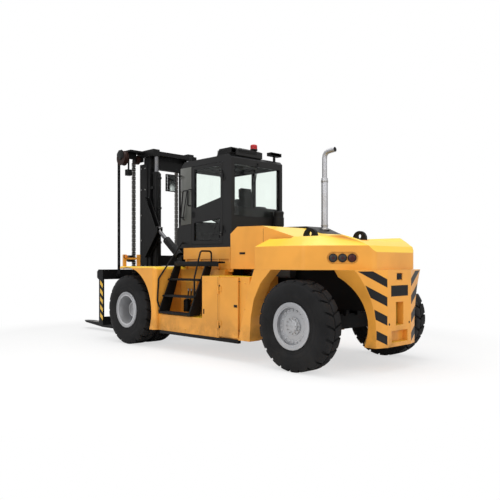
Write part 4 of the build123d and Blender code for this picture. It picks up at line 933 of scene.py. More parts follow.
@dataclass
class RimDress:
    """Lock rings, wheel nuts, hub covers and valves on the rims."""

    drive: RimSizes = RimSizes(-0.140, 0.228, -0.020, 0.172, 20, 0.020, 0.135, port_r=0.282)
    steer: RimSizes = RimSizes(0.130, 0.258, 0.150, 0.127, 12, 0.165, 0.098)
    ring_rows: tuple[Row, ...] = (
        (0.1975, 0.330), (0.2030, 0.333), (0.2052, 0.345), (0.2052, 0.370), (0.2025, 0.383), (0.1975, 0.386),
    )
    ports: int = 5
    cap_bolts: int = 8

    def _wheel(self, wheel: Wheel, sizes: RimSizes) -> None:
        """Dress one wheel."""
        centre = Vector((wheel.x, wheel.sign * OUTER_TYRE_Y, AXLE_Z))
        out = Vector((0.0, float(wheel.sign), 0.0))
        disc, hub, cap = (centre + out * step for step in (sizes.disc, sizes.hub, sizes.cap))
        nut_r, cap_r = sizes.nut_r, sizes.cap_r
        piece = Piece(wheel.rim, wheel.body, Slot.RIM)
        nut = hex_bolt(disc + Vector((nut_r, 0.0, 0.0)), out, 0.019)
        pad = [(-0.002, nut_r - 0.032), (0.006, nut_r - 0.030), (0.006, nut_r + 0.030), (-0.002, nut_r + 0.032)]
        piece.add(
            SILVER, Form.lathe(self.ring_rows, centre, out, 72, closed=True), nut.ring(centre, out, sizes.nuts),
            Form.lathe(pad, disc, out, 64, closed=True),
        )
        bolt = hex_bolt(hub + Vector((sizes.bolt_r, 0.0, 0.0)), out, 0.010)
        piece.add(STEEL, bolt.ring(centre, out, sizes.bolts))
        cover = [
            (-0.004, 0.0), (-0.004, cap_r), (0.004, cap_r), (0.009, cap_r - 0.006), (0.013, cap_r * 0.62),
            (0.015, cap_r * 0.58), (0.015, 0.022), (0.024, 0.018), (0.024, 0.0),
        ]
        piece.add(SILVER, Form.lathe(cover, cap, out))
        seat = cap + Vector((0.0, 0.0, cap_r * 0.8))
        piece.add(STEEL, hex_bolt(seat + out * 0.008, out, 0.007).ring(centre, out, self.cap_bolts))
        if sizes.port_r:
            rise = Vector((0.0, 0.0, sizes.port_r))
            # Black discs in the drive rims' ports: painted shade inside the holes, each with a raised lip.
            hole_shade_disc = [(0.0005, 0.0), (0.0005, 0.026), (0.007, 0.028), (0.007, 0.034), (-0.003, 0.036)]
            piece.add(BLACK, Form.lathe(hole_shade_disc, disc + rise, out, 20).ring(centre, out, self.ports))
            stem = disc - rise
            valve = [stem, stem + out * 0.035, stem + out * 0.05 + Vector((0.0, 0.0, 0.012))]
            piece.add(STEEL, Form.pipe(valve, 0.006))
        piece.place()

    def build(self) -> None:
        """Dress all four wheels."""
        for wheel in WHEELS:
            self._wheel(wheel, self.drive if wheel.drives else self.steer)


@dataclass
class RearCasting:
    """Counterweight dress: warning stripes, tail lamp faces, bare plate, socket, and painted shade in the tow channel
    and the holes.
    """

    rear_x: float = -5.89
    corner_y: float = 0.356
    rake: float = 0.296
    proud: float = 0.0016
    sunk: float = 0.002
    stripes: tuple[tuple[Row, ...], ...] = (
        ((0.366, 1.375), (0.366, 1.510), (0.648, 1.640), (0.942, 1.640)),
        ((0.366, 1.070), (0.366, 1.220), (0.795, 1.417), (0.695, 1.221)),
        ((0.366, 0.760), (0.366, 0.910), (0.625, 1.030), (0.597, 0.866)),
        ((0.366, 0.445), (0.366, 0.590), (0.582, 0.690), (0.582, 0.545)),
    )
    lamp_at: Row = (-5.4274, 0.947, 1.855)
    lamp_along: Row = (-0.7407, -0.6718, 0.0)
    lamp_out: Row = (-0.6718, 0.7407, 0.0)
    lamp_step: float = 0.152

    def _on_chamfer(self, y: float, z: float) -> Vector:
        """Point on the raked lower face at a height and a distance from the middle."""
        return Vector((self.rear_x + (y - self.corner_y) * self.rake, y, z))

    def _stripes(self) -> None:
        """Make the black warning stripes as thin films on both raked faces."""
        away = Vector((-1.0, self.rake, 0.0)).normalized()
        piece = Piece("rear_warning_stripes", Body.CHASSIS, Slot.BLACK, both=True)
        for corners in self.stripes:
            low = [self._on_chamfer(y, z) - away * self.sunk for y, z in corners]
            piece.add(STRIPE_BLACK, Form.plate(low, away * (self.sunk + self.proud)))
        piece.place()

    def _lamps(self) -> None:
        """Make rims, ribbed lenses and reflectors over the tail lamp bodies."""
        out, along = Vector(self.lamp_out), Vector(self.lamp_along)
        piece = Piece("tail_lamp_faces", Body.CHASSIS, Slot.LAMP, both=True)
        rim = [(0.002, 0.058), (0.009, 0.060), (0.012, 0.065), (0.011, 0.0695), (-0.004, 0.0705), (-0.004, 0.058)]
        dome = [(0.003, 0.0), (0.003, 0.059), (0.008, 0.056), (0.012, 0.042), (0.014, 0.020), (0.0145, 0.0)]
        core = [(0.012, 0.0), (0.012, 0.024), (0.0155, 0.021), (0.0165, 0.010), (0.0165, 0.0)]
        for index, lens in ((-1, SMOKED_LENS), (0, SMOKED_LENS), (1, DEEP_RED_LENS)):
            at = Vector(self.lamp_at) + along * (index * self.lamp_step)
            piece.add(BLACK, Form.lathe(rim, at, out, 36, closed=True))
            piece.add(lens, Form.lathe(dome, at, out, 36))
            piece.add(DEEP_RED_LENS, Form.lathe(core, at, out, 24))
        piece.place()

    def _rear_face(self) -> None:
        """Make the bare plate with its bars, the socket, a darker yellow plate that paints shade at the channel's
        back, and black discs that paint shade in the holes.
        """
        x = self.rear_x
        piece = Piece("rear_face_fittings", Body.CHASSIS, Slot.BLACK)
        piece.add(BLACK, Form.block((x - 0.0006, x + 0.01), (-0.26, 0.26), (1.225, 1.405)).bevel(0.0005, 1))
        bars = [Form.block((x - 0.0008, x + 0.01), (-0.24, 0.24), around(z, 0.004)) for z in (1.240, 1.390)]
        socket = Form.block((x + 0.004, x + 0.055), (-0.07, 0.07), (1.505, 1.595)).bevel(0.006)
        piece.add(MOULDED, *bars, socket)
        piece.add(BLACK, *[Form.rod((x + 0.010, y, 1.55), (x + 0.001, y, 1.55), 0.022, 24) for y in (-0.035, 0.035)])
        # Darker yellow plate at the back of the tow channel: painted shade in the recess.
        piece.add(PAINTED_SHADE_YELLOW, Form.block((x + 0.112, x + 0.121), (-0.113, 0.113), (0.752, 1.128)))
        # Black discs over two holes in the rear face: painted shade inside the holes.
        piece.add(BLACK, *[Form.rod((x + 0.006, y, 0.775), (x - 0.0008, y, 0.775), 0.020) for y in (-0.30, 0.31)])
        piece.place()

    def build(self) -> None:
        """Dress the whole casting."""
        self._stripes()
        self._lamps()
        self._rear_face()


@dataclass
class SideDress:
    """Side walls: lid latch and hinges, bolts, seams and the step sill's edge."""

    wall_y: float = 1.38
    hinge_x: float = -2.948

    def _lid(self) -> None:
        """Make the lid's latch, hinge barrels and bolts."""
        x, y = self.hinge_x, self.wall_y
        piece = Piece("lid_fittings", Body.LID, Slot.BLACK)
        piece.add(BLACK, Form.block((-3.425, -3.335), (y - 0.003, y + 0.002), (0.972, 1.020)).bevel(0.0015))
        piece.add(MOULDED, Form.block((-3.415, -3.345), (y - 0.001, y + 0.005), (0.990, 1.002)).bevel(0.002))
        for z in (0.62, 1.32):
            piece.add(BLACK, Form.rod((x, y + 0.004, z - 0.05), (x, y + 0.004, z + 0.05), 0.011, 16))
        corners = [(along, y, z) for z in (0.50, 1.44) for along in (-3.36, -3.02)]
        piece.add(YELLOW, *bolts(corners, LEFT, 0.008))
        piece.place()

    def _walls(self) -> None:
        """Make bolt rows, hinge leaves, panel seams and the sill's edge on both side walls."""
        y = self.wall_y
        piece = Piece("side_wall_fittings", Body.CHASSIS, Slot.YELLOW, both=True)
        heads = [(x, y, z) for x in (-3.62, -2.56) for z in (0.48, 0.95, 1.42)]
        heads += [(x, y, 0.46) for x in (-2.30, -1.95, -1.60, -1.25)]
        piece.add(YELLOW, *bolts(heads, LEFT, 0.010))
        leaves = [Form.block((-3.505, -3.455), (y - 0.004, y + 0.0015), around(z, 0.006)) for z in (0.56, 1.44)]
        pull = Form.block((-2.515, -2.480), (y - 0.004, y + 0.002), (0.805, 0.900)).bevel(0.0015)
        seams = [Form.block(around(x, 0.002), (y - 0.004, y + 0.0008), (0.41, 1.51)) for x in (-2.90, -3.475)]
        sill = Form.block((-3.44, -1.08), (1.30, y - 0.006), (0.325, 0.392)).bevel(0.006)
        piece.add(BLACK, *leaves, pull, *seams, sill)
        piece.place()

    def build(self) -> None:
        """Dress lid and walls."""
        self._lid()
        self._walls()


@dataclass
class HoodDress:
    """Engine hood: latches and seams, and the bent exhaust stack with its clamps."""

    half: float = 0.95
    latch_x: float = -3.11
    stack_x: float = -3.75
    stack_y: float = -0.71
    mouth_z: float = 4.008
    bend: tuple[Row, ...] = (
        (0.0, 3.46), (0.0, 3.86), (0.010, 3.92), (0.040, 3.965), (0.085, 3.988), (0.150, 3.998), (0.260, 4.008),
    )

    def _hood(self) -> None:
        """Make the latches and seams on both sides."""
        x, y = self.latch_x, self.half
        piece = Piece("hood_fittings", Body.CHASSIS, Slot.BLACK, both=True)
        piece.add(BLACK, Form.block(around(x, 0.075), (y - 0.004, y + 0.006), (1.935, 1.975)).bevel(0.004))
        piece.add(MOULDED, Form.block(around(x, 0.055), (y + 0.004, y + 0.014), (1.948, 1.962)).bevel(0.003))
        piece.add(BLACK, Form.block((-3.660, -3.654), (y - 0.003, y + 0.0012), (1.68, 2.40)))
        piece.place()

    def _stack(self) -> None:
        """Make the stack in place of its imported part."""
        x, y = self.stack_x, self.stack_y
        piece = Piece("bent_exhaust_stack", Body.CHASSIS, Slot.CHROME)
        lower = [(2.33, 0.0), (2.33, 0.066), (3.455, 0.066), (3.47, 0.060), (3.47, 0.0)]
        upper = Form.pipe([(x - back, y, z) for back, z in self.bend], 0.050, 28)
        piece.add(PIPE_STEEL, Form.lathe(lower, (x, y, 0.0), UP, 36), upper)
        mouth = [(0.0, 0.0), (0.0, 0.044), (0.003, 0.044), (0.003, 0.0)]
        piece.add(BLACK, Form.lathe(mouth, (x - 0.259, y, self.mouth_z), (-1.0, 0.0, 0.09), 28))
        band = [(-0.018, 0.064), (-0.018, 0.0705), (-0.014, 0.072), (0.014, 0.072), (0.018, 0.0705), (0.018, 0.064)]
        for z in (2.52, 3.40):
            ear = Form.block(around(x, 0.012), (y + 0.066, y + 0.098), around(z, 0.016)).bevel(0.003)
            bolt = hex_bolt((x - 0.012, y + 0.086, z), REAR, 0.007)
            piece.add(STEEL, Form.lathe(band, (x, y, z), UP, 36, closed=True), ear, bolt)
        foot = [(0.0, 0.0665), (0.0, 0.105), (0.006, 0.105), (0.010, 0.085), (0.030, 0.070), (0.030, 0.0665)]
        piece.add(STEEL, Form.lathe(foot, (x, y, 2.435), UP, 36, closed=True))
        piece.place("exhaust_stack")

    def build(self) -> None:
        """Dress the hood and make the stack."""
        self._hood()
        self._stack()


@dataclass
class CabDress:
    """Cab: window seals, door handle and hinges, lamp faces, mirror glass, beacon, roof and inside."""

    left_y: float = 0.74
    back_x: float = -2.576
    seal: float = 0.016
    seal_out: float = 0.007
    beacon_at: Row = (-2.44, -0.02, 4.10)
    quarter: tuple[Row, ...] = ((-1.07, 2.64), (-1.04, 3.76), (-1.29, 3.76), (-1.29, 2.64))
    right_windows: tuple[tuple[Row, ...], ...] = (
        ((-1.10, 2.70), (-1.07, 3.76), (-1.70, 3.76), (-1.70, 2.70)),
        ((-2.46, 2.70), (-1.78, 2.70), (-1.78, 3.76), (-2.46, 3.76)),
    )
    back_window: tuple[Row, ...] = ((-0.65, 2.72), (0.65, 2.72), (0.65, 3.74), (-0.65, 3.74))
    door_windows: tuple[tuple[Row, ...], ...] = (
        ((-1.44, 2.92), (-1.44, 3.73), (-2.26, 3.73), (-2.26, 3.09)),
        ((-1.42, 2.24), (-1.42, 2.61), (-2.23, 2.67), (-2.23, 2.24)),
    )

    def _seal(self, corners: Sequence[Row], depth: Row) -> Form:
        """Make a rubber seal round a window outline.

        Args:
            corners: Outline of the window.
            depth: Vector that the seal stands out by.

        Returns:
            The seal as one closed form.
        """
        form = Form()
        face = form.outline(corners)
        made = bmesh.ops.inset_region(
            form.mesh, faces=[face], thickness=self.seal, use_boundary=True, use_even_offset=True
        )
        bmesh.ops.delete(form.mesh, geom=[face], context="FACES_ONLY")
        return form.drawn(made["faces"], depth).bevel(0.004)

    def _side_seal(self, window: Sequence[Row], sign: int) -> Form:
        """Make the seal of a window in a side wall, from its X and Z corners and the side's sign."""
        y = sign * (self.left_y - 0.004)
        return self._seal([(x, y, z) for x, z in window], (0.0, sign * self.seal_out, 0.0))

    def _seals(self) -> None:
        """Make all window seals of the shell and the door."""
        shell = Piece("cab_window_seals", Body.CHASSIS, Slot.HOSE)
        shell.add(SEAL, self._side_seal(self.quarter, 1))
        shell.add(SEAL, *[self._side_seal(window, -1) for window in self.right_windows])
        back = [(self.back_x, y, z) for y, z in self.back_window]
        shell.add(SEAL, self._seal(back, (-self.seal_out, 0.0, 0.0)))
        shell.place()
        door = Piece("door_window_seals", Body.DOOR, Slot.HOSE)
        door.add(SEAL, *[self._side_seal(window, 1) for window in self.door_windows])
        door.place()

    def _door(self) -> None:
        """Make the door's handle and hinges."""
        y = self.left_y
        piece = Piece("door_fittings", Body.DOOR, Slot.BLACK)
        bow = ((0.0, 2.84), (0.032, 2.83), (0.036, 2.79), (0.032, 2.75), (0.0, 2.74))
        piece.add(
            MOULDED, Form.block((-1.43, -1.365), (y - 0.002, y + 0.007), (2.72, 2.86)).bevel(0.004),
            Form.pipe([(-1.40, y + out, z) for out, z in bow], 0.009, 12),
        )
        for z in (2.36, 3.58):
            leaf = Form.block((-2.315, -2.25), (y - 0.002, y + 0.008), around(z, 0.045)).bevel(0.003)
            barrel = Form.rod((-2.306, y + 0.008, z - 0.05), (-2.306, y + 0.008, z + 0.05), 0.009, 14)
            piece.add(BLACK, leaf, barrel)
            heads = [(x, y + 0.007, z + up) for x in (-2.28, -2.262) for up in (0.025, -0.025)]
            piece.add(STEEL, *bolts(heads, LEFT, 0.005))
        piece.place()

    def _lamp_face(self, piece: Piece, x: float, y: Span, z: Span, out: int) -> None:
        """Add the rim and the lens of a square work lamp.

        Args:
            piece: Piece that takes them in.
            x: Place of the lamp's face.
            y: Its span across the truck.
            z: Its span in height.
            out: Sign of the way that it looks along X.
        """
        corners = [(x, y[0], z[0]), (x, y[1], z[0]), (x, y[1], z[1]), (x, y[0], z[1])]
        edge = self.seal * 0.8
        inner = [(low + edge, high - edge) for low, high in (y, z)]
        piece.add(BLACK, self._seal(corners, (out * 0.006, 0.0, 0.0)))
        piece.add(CLEAR_LENS, Form.block((x - 0.004, x + out * 0.004), *inner).bevel(0.002))

    def _lamps(self) -> None:
        """Make the faces of the roof work lamps and the mirror glass."""
        piece = Piece("work_lamp_faces", Body.CHASSIS, Slot.LAMP)
        rows = (
            (-2.57, (0.61, 0.735), (3.95, 4.05), -1), (-2.57, (-0.72, -0.40), (4.03, 4.10), -1),
            (-1.08, (0.49, 0.615), (3.95, 4.05), 1), (-1.08, (-0.615, -0.49), (3.95, 4.05), 1),
        )
        for x, y, z, out in rows:
            self._lamp_face(piece, x, y, z, out)
        glass = Form.block((-0.7262, -0.724), (0.705, 0.915), (3.345, 3.685)).bevel(0.001, 1)
        piece.add(CHROME, glass, both=True)
        piece.place()

    def _beacon(self) -> None:
        """Make the beacon as a base with a ribbed red dome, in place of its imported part."""
        piece = Piece("ribbed_beacon", Body.CHASSIS, Slot.BEACON)
        base = [(0.0, 0.0), (0.0, 0.078), (0.016, 0.078), (0.021, 0.074), (0.025, 0.070), (0.025, 0.0)]
        dome = [
            (0.025, 0.0), (0.025, 0.0740), (0.034, 0.0740), (0.036, 0.0705), (0.048, 0.0705), (0.050, 0.0740),
            (0.062, 0.0740), (0.064, 0.0705), (0.076, 0.0705), (0.078, 0.0735), (0.100, 0.0715), (0.114, 0.062),
            (0.122, 0.038), (0.125, 0.0),
        ]
        piece.add(BLACK, Form.lathe(base, self.beacon_at, UP, 40))
        piece.add(RED_LENS, Form.lathe(dome, self.beacon_at, UP, 40))
        piece.place("beacon")

    def _roof(self) -> None:
        """Make the rear wiper, the roof unit's grilles and the roof's bolts."""
        x = -2.58
        piece = Piece("cab_roof_fittings", Body.CHASSIS, Slot.PLASTIC)
        piece.add(MOULDED, Form.rod((x, 0.0, 3.80), (x - 0.022, 0.0, 3.80), 0.020))
        arm = [(x - 0.016, 0.0, 3.80), (x - 0.020, 0.10, 3.40), (x - 0.018, 0.14, 3.15)]
        piece.add(BLACK, Form.pipe(arm, 0.006, 8))
        blade = Form.block((x - 0.020, x - 0.008), (0.115, 0.130), (2.86, 3.44)).turn(6.0, "X", (x, 0.12, 3.15))
        piece.add(SEAL, blade)
        slats = (
            Form.block((-2.52, -2.01), (0.598, 0.606), (3.99, 4.000)),
            Form.block((-2.567, -2.558), (0.02, 0.52), (3.985, 3.995)),
        )
        piece.add(MOULDED, *[slat.row((0.0, 0.0, 0.018), 5) for slat in slats])
        heads = bolts([(-1.90, y, 3.985) for y in (-0.50, 0.50)], UP, 0.008)
        piece.add(BLACK, *[head.row((0.32, 0.0, 0.0), 3) for head in heads])
        piece.place()

    def _inside(self) -> None:
        """Make the dark corner pane that paints the shade of the cab's inside, seat shell, rear shelf, side console,
        canister and grab rail.
        """
        piece = Piece("cab_inside_fittings", Body.CHASSIS, Slot.PLASTIC)
        # Opaque dark glossy sheet over the corner window: painted shade of the cab's inside.
        pane = ((-1.335, 2.60), (-0.985, 2.58), (-0.970, 3.80), (-1.335, 3.80))
        piece.add(CORNER_PANE_SHADE, Form.plate([(x, 0.739, z) for x, z in pane], (0.0, 0.0075, 0.0)).bevel(0.002))
        half = ((0.20, 2.56), (0.22, 2.95), (0.17, 3.14), (0.145, 3.33))
        shell = [(-0.20, 2.56), *half, *[(-y, z) for y, z in reversed(half[1:])]]
        jar = [
            (0.0, 0.0), (0.0, 0.105), (0.05, 0.11), (0.06, 0.10), (0.12, 0.10), (0.13, 0.11), (0.30, 0.11),
            (0.31, 0.10), (0.37, 0.10), (0.38, 0.11), (0.42, 0.105), (0.44, 0.08), (0.44, 0.0),
        ]
        piece.add(
            MOULDED, Form.plate([(-2.235, y, z) for y, z in shell], (0.04, 0.0, 0.0)).bevel(0.010),
            Form.block((-2.52, -2.32), (-0.655, 0.655), (2.60, 2.915)).bevel(0.03, 3),
            Form.block((-2.26, -1.90), (-0.62, -0.34), (2.58, 2.98)).bevel(0.05, 3),
            Form.lathe(jar, (-2.70, -0.50, 2.42), UP, 32),
        )
        rail = [
            (-1.11, 0.741, 2.69), (-1.12, 0.80, 2.70), (-1.255, 0.80, 3.27), (-1.29, 0.80, 3.31), (-1.34, 0.80, 3.32),
            (-1.345, 0.741, 3.32),
        ]
        piece.add(BLACK, Form.pipe(rail, 0.010))
        piece.place()

    def build(self) -> None:
        """Dress the whole cab."""
        self._seals()
        self._door()
        self._lamps()
        self._beacon()
        self._roof()
        self._inside()


@dataclass(frozen=True)
class Pad:
    """One cushion: its name, block, the axis that its face looks along and how full it is, which is not used."""

    name: str
    x: Span
    y: Span
    z: Span
    axis: int
    fill: float


@dataclass
class SeatPads:
    """Seat, back and head rest as filled cloth pads."""

    grid: float = 0.007
    swell: float = 0.012
    frames: int = 20
    channels: Row = (0.085, 0.165)
    channel_depth: float = 0.010
    channel_width: float = 0.009
    pads: tuple[Pad, ...] = (
        Pad("seat_pad", (-2.172, -1.698), (-0.232, 0.232), (2.452, 2.562), 2, 0.8),
        Pad("back_pad", (-2.186, -2.098), (-0.222, 0.222), (2.588, 3.112), 0, 0.7),
        Pad("head_pad", (-2.186, -2.118), (-0.132, 0.132), (3.128, 3.322), 0, 0.6),
    )

    def _apply(self, obj: bpy.types.Object) -> None:
        """Bake an object's modifiers into its mesh."""
        seen = obj.evaluated_get(bpy.context.evaluated_depsgraph_get())
        baked = bpy.data.meshes.new_from_object(seen)
        obj.modifiers.clear()
        obj.data = baked

    def _cushion(self, pad: Pad) -> bpy.types.Object:
        """Link a cushion's starting shape with an even mesh."""
        obj = link_mesh(pad.name, Form.block(pad.x, pad.y, pad.z).bevel(0.022, 3).mesh)
        even = obj.modifiers.new("even", "REMESH")
        even.mode = "VOXEL"
        even.voxel_size = self.grid
        self._apply(obj)
        return obj

    def _fill(self, obj: bpy.types.Object) -> None:
        """Fill a cushion by a short cloth run and keep each point's move small."""
        start = [vert.co.copy() for vert in obj.data.vertices]
        cloth = obj.modifiers.new("fill", "CLOTH")
        values = {
            "quality": 4, "mass": 0.25, "tension_stiffness": 12.0, "compression_stiffness": 12.0,
            "bending_stiffness": 0.4, "use_pressure": True, "uniform_pressure_force": 4.0,
        }
        for name, value in values.items():
            setattr(cloth.settings, name, value)
        cloth.settings.effector_weights.gravity = 0.0
        cloth.collision_settings.use_collision = False
        scene = bpy.context.scene
        for number in range(1, self.frames + 1):
            scene.frame_set(number)
            bpy.context.view_layer.update()
        self._apply(obj)
        scene.frame_set(1)
        for vert, was in zip(obj.data.vertices, start):
            move = vert.co - was
            if move.length > self.swell:
                vert.co = was + move.normalized() * self.swell

    def _stitch(self, obj: bpy.types.Object, axis: int) -> None:
        """Press sewn channels into the cushion's face, which looks along an axis."""
        levels = [vert.co[axis] for vert in obj.data.vertices]
        middle = (min(levels) + max(levels)) / 2.0
        for vert in obj.data.vertices:
            if vert.co[axis] > middle:
                gap = min(abs(abs(vert.co.y) - channel) for channel in self.channels)
                vert.co[axis] -= self.channel_depth * math.exp(-((gap / self.channel_width) ** 2))

    def build(self) -> None:
        """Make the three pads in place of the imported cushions."""
        for pad in self.pads:
            obj = self._cushion(pad)
            self._fill(obj)
            self._stitch(obj, pad.axis)
            obj.data.shade_smooth()
            obj.data.materials.clear()
            obj.data.materials.append(SEAT_CLOTH.material())
            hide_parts("seat_cushions")
            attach(obj, Body.CHASSIS.value)
            LOG.info("piece %s, %d faces", pad.name, len(obj.data.polygons))


@dataclass
class StairDress:
    """Stairs: raised tread bars and studs, the deck's ribs and skirt, and the side webs."""

    x: Span = (-2.13, -1.17)
    treads: tuple[Row, ...] = ((1.25, 1.45, 0.78), (1.13, 1.35, 1.115), (1.01, 1.215, 1.45), (0.80, 1.04, 1.80))
    bars: int = 5
    studs: int = 12
    stud_step: float = 0.08
    web: tuple[Row, ...] = ((1.275, 0.742), (0.985, 1.702), (0.880, 1.702), (1.195, 0.742))
    web_x: Span = (-2.158, -1.168)

    def build(self) -> None:
        """Make bars and studs on every step, and the deck's and the sides' plates."""
        piece = Piece("stair_tread_bars", Body.CHASSIS, Slot.BLACK)
        first = self.x[0] + 0.04
        for low, high, top in self.treads:
            step = (high - low - 0.04) / (self.bars - 1)
            bar = Form.block(self.x, (low + 0.014, low + 0.026), (top - 0.003, top + 0.006)).bevel(0.002, 1)
            piece.add(BLACK, bar.row((0.0, step, 0.0), self.bars))
            stud = Form.rod((first, low + 0.045, top - 0.002), (first, low + 0.045, top + 0.004), 0.009, 10)
            piece.add(STEEL, stud.row((self.stud_step, 0.0, 0.0), self.studs))
        ribs = [Form.block(around(x, 0.006), (0.82, 1.30), (1.80, 1.806)) for x in (-2.42, -2.30, -2.18)]
        skirt = Form.block((-2.52, -1.14), (1.024, 1.041), (1.705, 1.801)).bevel(0.003)
        webs = [Form.plate([(x, y, z) for y, z in self.web], (0.026, 0.0, 0.0)).bevel(0.003) for x in self.web_x]
        piece.add(BLACK, *ribs, skirt, *webs)
        piece.place()


@dataclass
class FenderDress:
    """Front fenders: head and turn lamp faces, anti-slip pads and edge bolts."""

    top: float = 1.70
    head_lamp: Row = (0.31, 1.2175, 1.87)
    turn_lamp: Row = (0.135, 1.40, 1.912)

    def build(self) -> None:
        """Dress both fenders and their lamps."""
        faces = Piece("fender_lamp_faces", Body.CHASSIS, Slot.LAMP, both=True)
        rim = [(-0.012, 0.062), (0.006, 0.064), (0.009, 0.069), (0.006, 0.076), (-0.012, 0.077)]
        lens = [(-0.004, 0.0), (-0.004, 0.063), (0.004, 0.058), (0.010, 0.036), (0.012, 0.0)]
        cap = [(-0.001, 0.0), (-0.001, 0.0425), (0.006, 0.041), (0.014, 0.034), (0.019, 0.018), (0.020, 0.0)]
        faces.add(BLACK, Form.lathe(rim, self.head_lamp, FRONT, 36, closed=True))
        faces.add(CLEAR_LENS, Form.lathe(lens, self.head_lamp, FRONT, 36))
        faces.add(AMBER_LENS, Form.lathe(cap, self.turn_lamp, REAR, 32))
        faces.place()
        pads = Piece("fender_tread_pads", Body.CHASSIS, Slot.BLACK, both=True)
        pads.add(GRIP, Form.block((-0.62, 0.10), (0.80, 1.32), (self.top - 0.002, self.top + 0.0025)).bevel(0.0012, 1))
        pads.add(YELLOW, *bolts([(x, 1.48, 1.64) for x in (-0.95, -0.60, -0.25, 0.10)], LEFT, 0.009))
        pads.place()


@dataclass
class MastDress:
    """Mast: rail bolts, cable trays, barrel bands, sheave pins, pulley covers and the head's manifold."""

    rail_y: float = 0.600
    barrel: Span = (0.31, 0.465)
    sheave_z: float = 4.225
    cover: tuple[Row, ...] = (
        (0.700, 4.215), (0.720, 4.330), (0.770, 4.405), (0.906, 4.405), (0.985, 4.330), (0.990, 4.290), (0.900, 4.215),
    )

    def _outer(self) -> None:
        """Dress the outer mast."""
        piece = Piece("outer_mast_fittings", Body.OUTER_MAST, Slot.BLACK, both=True)
        heads = [(x, self.rail_y, z) for z in (1.70, 2.30, 2.90, 3.50, 4.00) for x in (0.56, 0.72)]
        piece.add(STEEL, *bolts(heads, LEFT, 0.013))
        tray = Form.block((0.185, 0.245), (0.415, 0.505), (1.30, 3.86)).bevel(0.006)
        straps = [
            Form.block((0.175, 0.252), (0.405, 0.515), around(z, 0.025)).bevel(0.005) for z in (1.45, 2.25, 3.05, 3.75)
        ]
        piece.add(BLACK, tray, *straps)
        band = [(-0.02, 0.079), (-0.02, 0.085), (0.02, 0.085), (0.02, 0.079)]
        gland = [(-0.03, 0.0795), (-0.03, 0.0875), (0.012, 0.0875), (0.018, 0.078), (0.018, 0.066), (-0.03, 0.066)]
        rings = [(band, 0.95), (band, 2.0), (band, 3.1), (band, 3.84), (gland, 3.88)]
        piece.add(BLACK, *[Form.lathe(rows, (*self.barrel, z), UP, 28, closed=True) for rows, z in rings])
        piece.place()

    def _inner(self) -> None:
        """Dress the inner mast's head."""
        piece = Piece("inner_mast_fittings", Body.INNER_MAST, Slot.LAMP)
        pin = [(0.0, 0.0), (0.0, 0.038), (0.014, 0.038), (0.018, 0.032), (0.018, 0.0)]
        cover = Form.plate([(x, 1.098, z) for x, z in self.cover], (0.0, 0.010, 0.0)).bevel(0.003)
        piece.add(BLACK, Form.lathe(pin, (0.8575, 0.685, self.sheave_z), LEFT, 24), cover, both=True)
        piece.add(BLACK, Form.block((0.44, 0.60), (-0.41, 0.41), (4.12, 4.41)).bevel(0.010))
        boss = [(-0.002, 0.0), (-0.002, 0.055), (0.012, 0.055), (0.016, 0.048), (0.016, 0.0)]
        piece.add(BLACK, Form.lathe(boss, (0.838, 1.096, self.sheave_z), LEFT, 24), both=True)
        piece.place()

    def build(self) -> None:
        """Dress outer and inner mast."""
        self._outer()
        self._inner()


@dataclass
class LiftChains:
    """Leaf chains and carriage hoses on the inner mast."""

    chain_x: float = 0.985
    chain_y: float = 0.64
    low: float = 1.52
    high: float = 4.225
    links: int = 50
    half: float = 0.0215
    thick: float = 0.0125
    outer_plates: Row = (-0.044, -0.0062, 0.0316)
    inner_plates: Row = (-0.0251, 0.0127)
    pin_half: float = 0.0448
    hose_x: float = 1.0
    hoses_y: Row = (1.04 - 0.025, 1.04, 1.04 + 0.025)
    keep: float = 0.26

    def _link(self, y: float, z: float, pitch: float) -> Form:
        """Make one waisted plate.

        Args:
            y: Near face of the plate.
            z: Middle of its lower pin.
            pitch: Distance between its pins.

        Returns:
            The plate.
        """
        wide, slim, end = self.half, self.half * 0.70, self.half * 0.95
        outline = [
            (slim * 0.9, -end), (wide, -end * 0.35), (wide, end * 0.35), (slim, pitch / 2.0),
            (wide, pitch - end * 0.35), (wide, pitch + end * 0.35), (slim * 0.9, pitch + end),
        ]
        outline += [(-x, step) for x, step in reversed(outline)]
        return Form.plate([(self.chain_x + x, y, z + step) for x, step in outline], (0.0, self.thick, 0.0))

    def _finish(self, piece: Piece, node: str) -> None:
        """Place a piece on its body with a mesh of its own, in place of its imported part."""
        obj = piece.place(node)
        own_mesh(obj)

    def build(self) -> None:
        """Make chains and hoses on both sides."""
        x, y, end = self.chain_x, self.chain_y, self.half * 0.95
        pitch = (self.high - self.low - 2.0 * end) / self.links
        first = self.low + end
        chains = Piece("leaf_chains", Body.INNER_MAST, Slot.CHAIN, both=True)
        for offsets, start in ((self.outer_plates, first), (self.inner_plates, first + pitch)):
            plates = [self._link(y + offset, start, pitch) for offset in offsets]
            chains.add(OILED, *[plate.row((0.0, 0.0, 2.0 * pitch), self.links // 2) for plate in plates])
        pin = Form.rod((x, y - self.pin_half, first), (x, y + self.pin_half, first), 0.008, 10)
        chains.add(STEEL, pin.row((0.0, 0.0, pitch), self.links + 1))
        self._finish(chains, "lift_chains")
        hoses = Piece("carriage_hose_runs", Body.INNER_MAST, Slot.HOSE, both=True)
        ends = [((self.hose_x, along, self.low), (self.hose_x, along, self.high)) for along in self.hoses_y]
        hoses.add(HOSE, *[Form.rod(start, top, 0.012, 16) for start, top in ends])
        self._finish(hoses, "carriage_hoses")


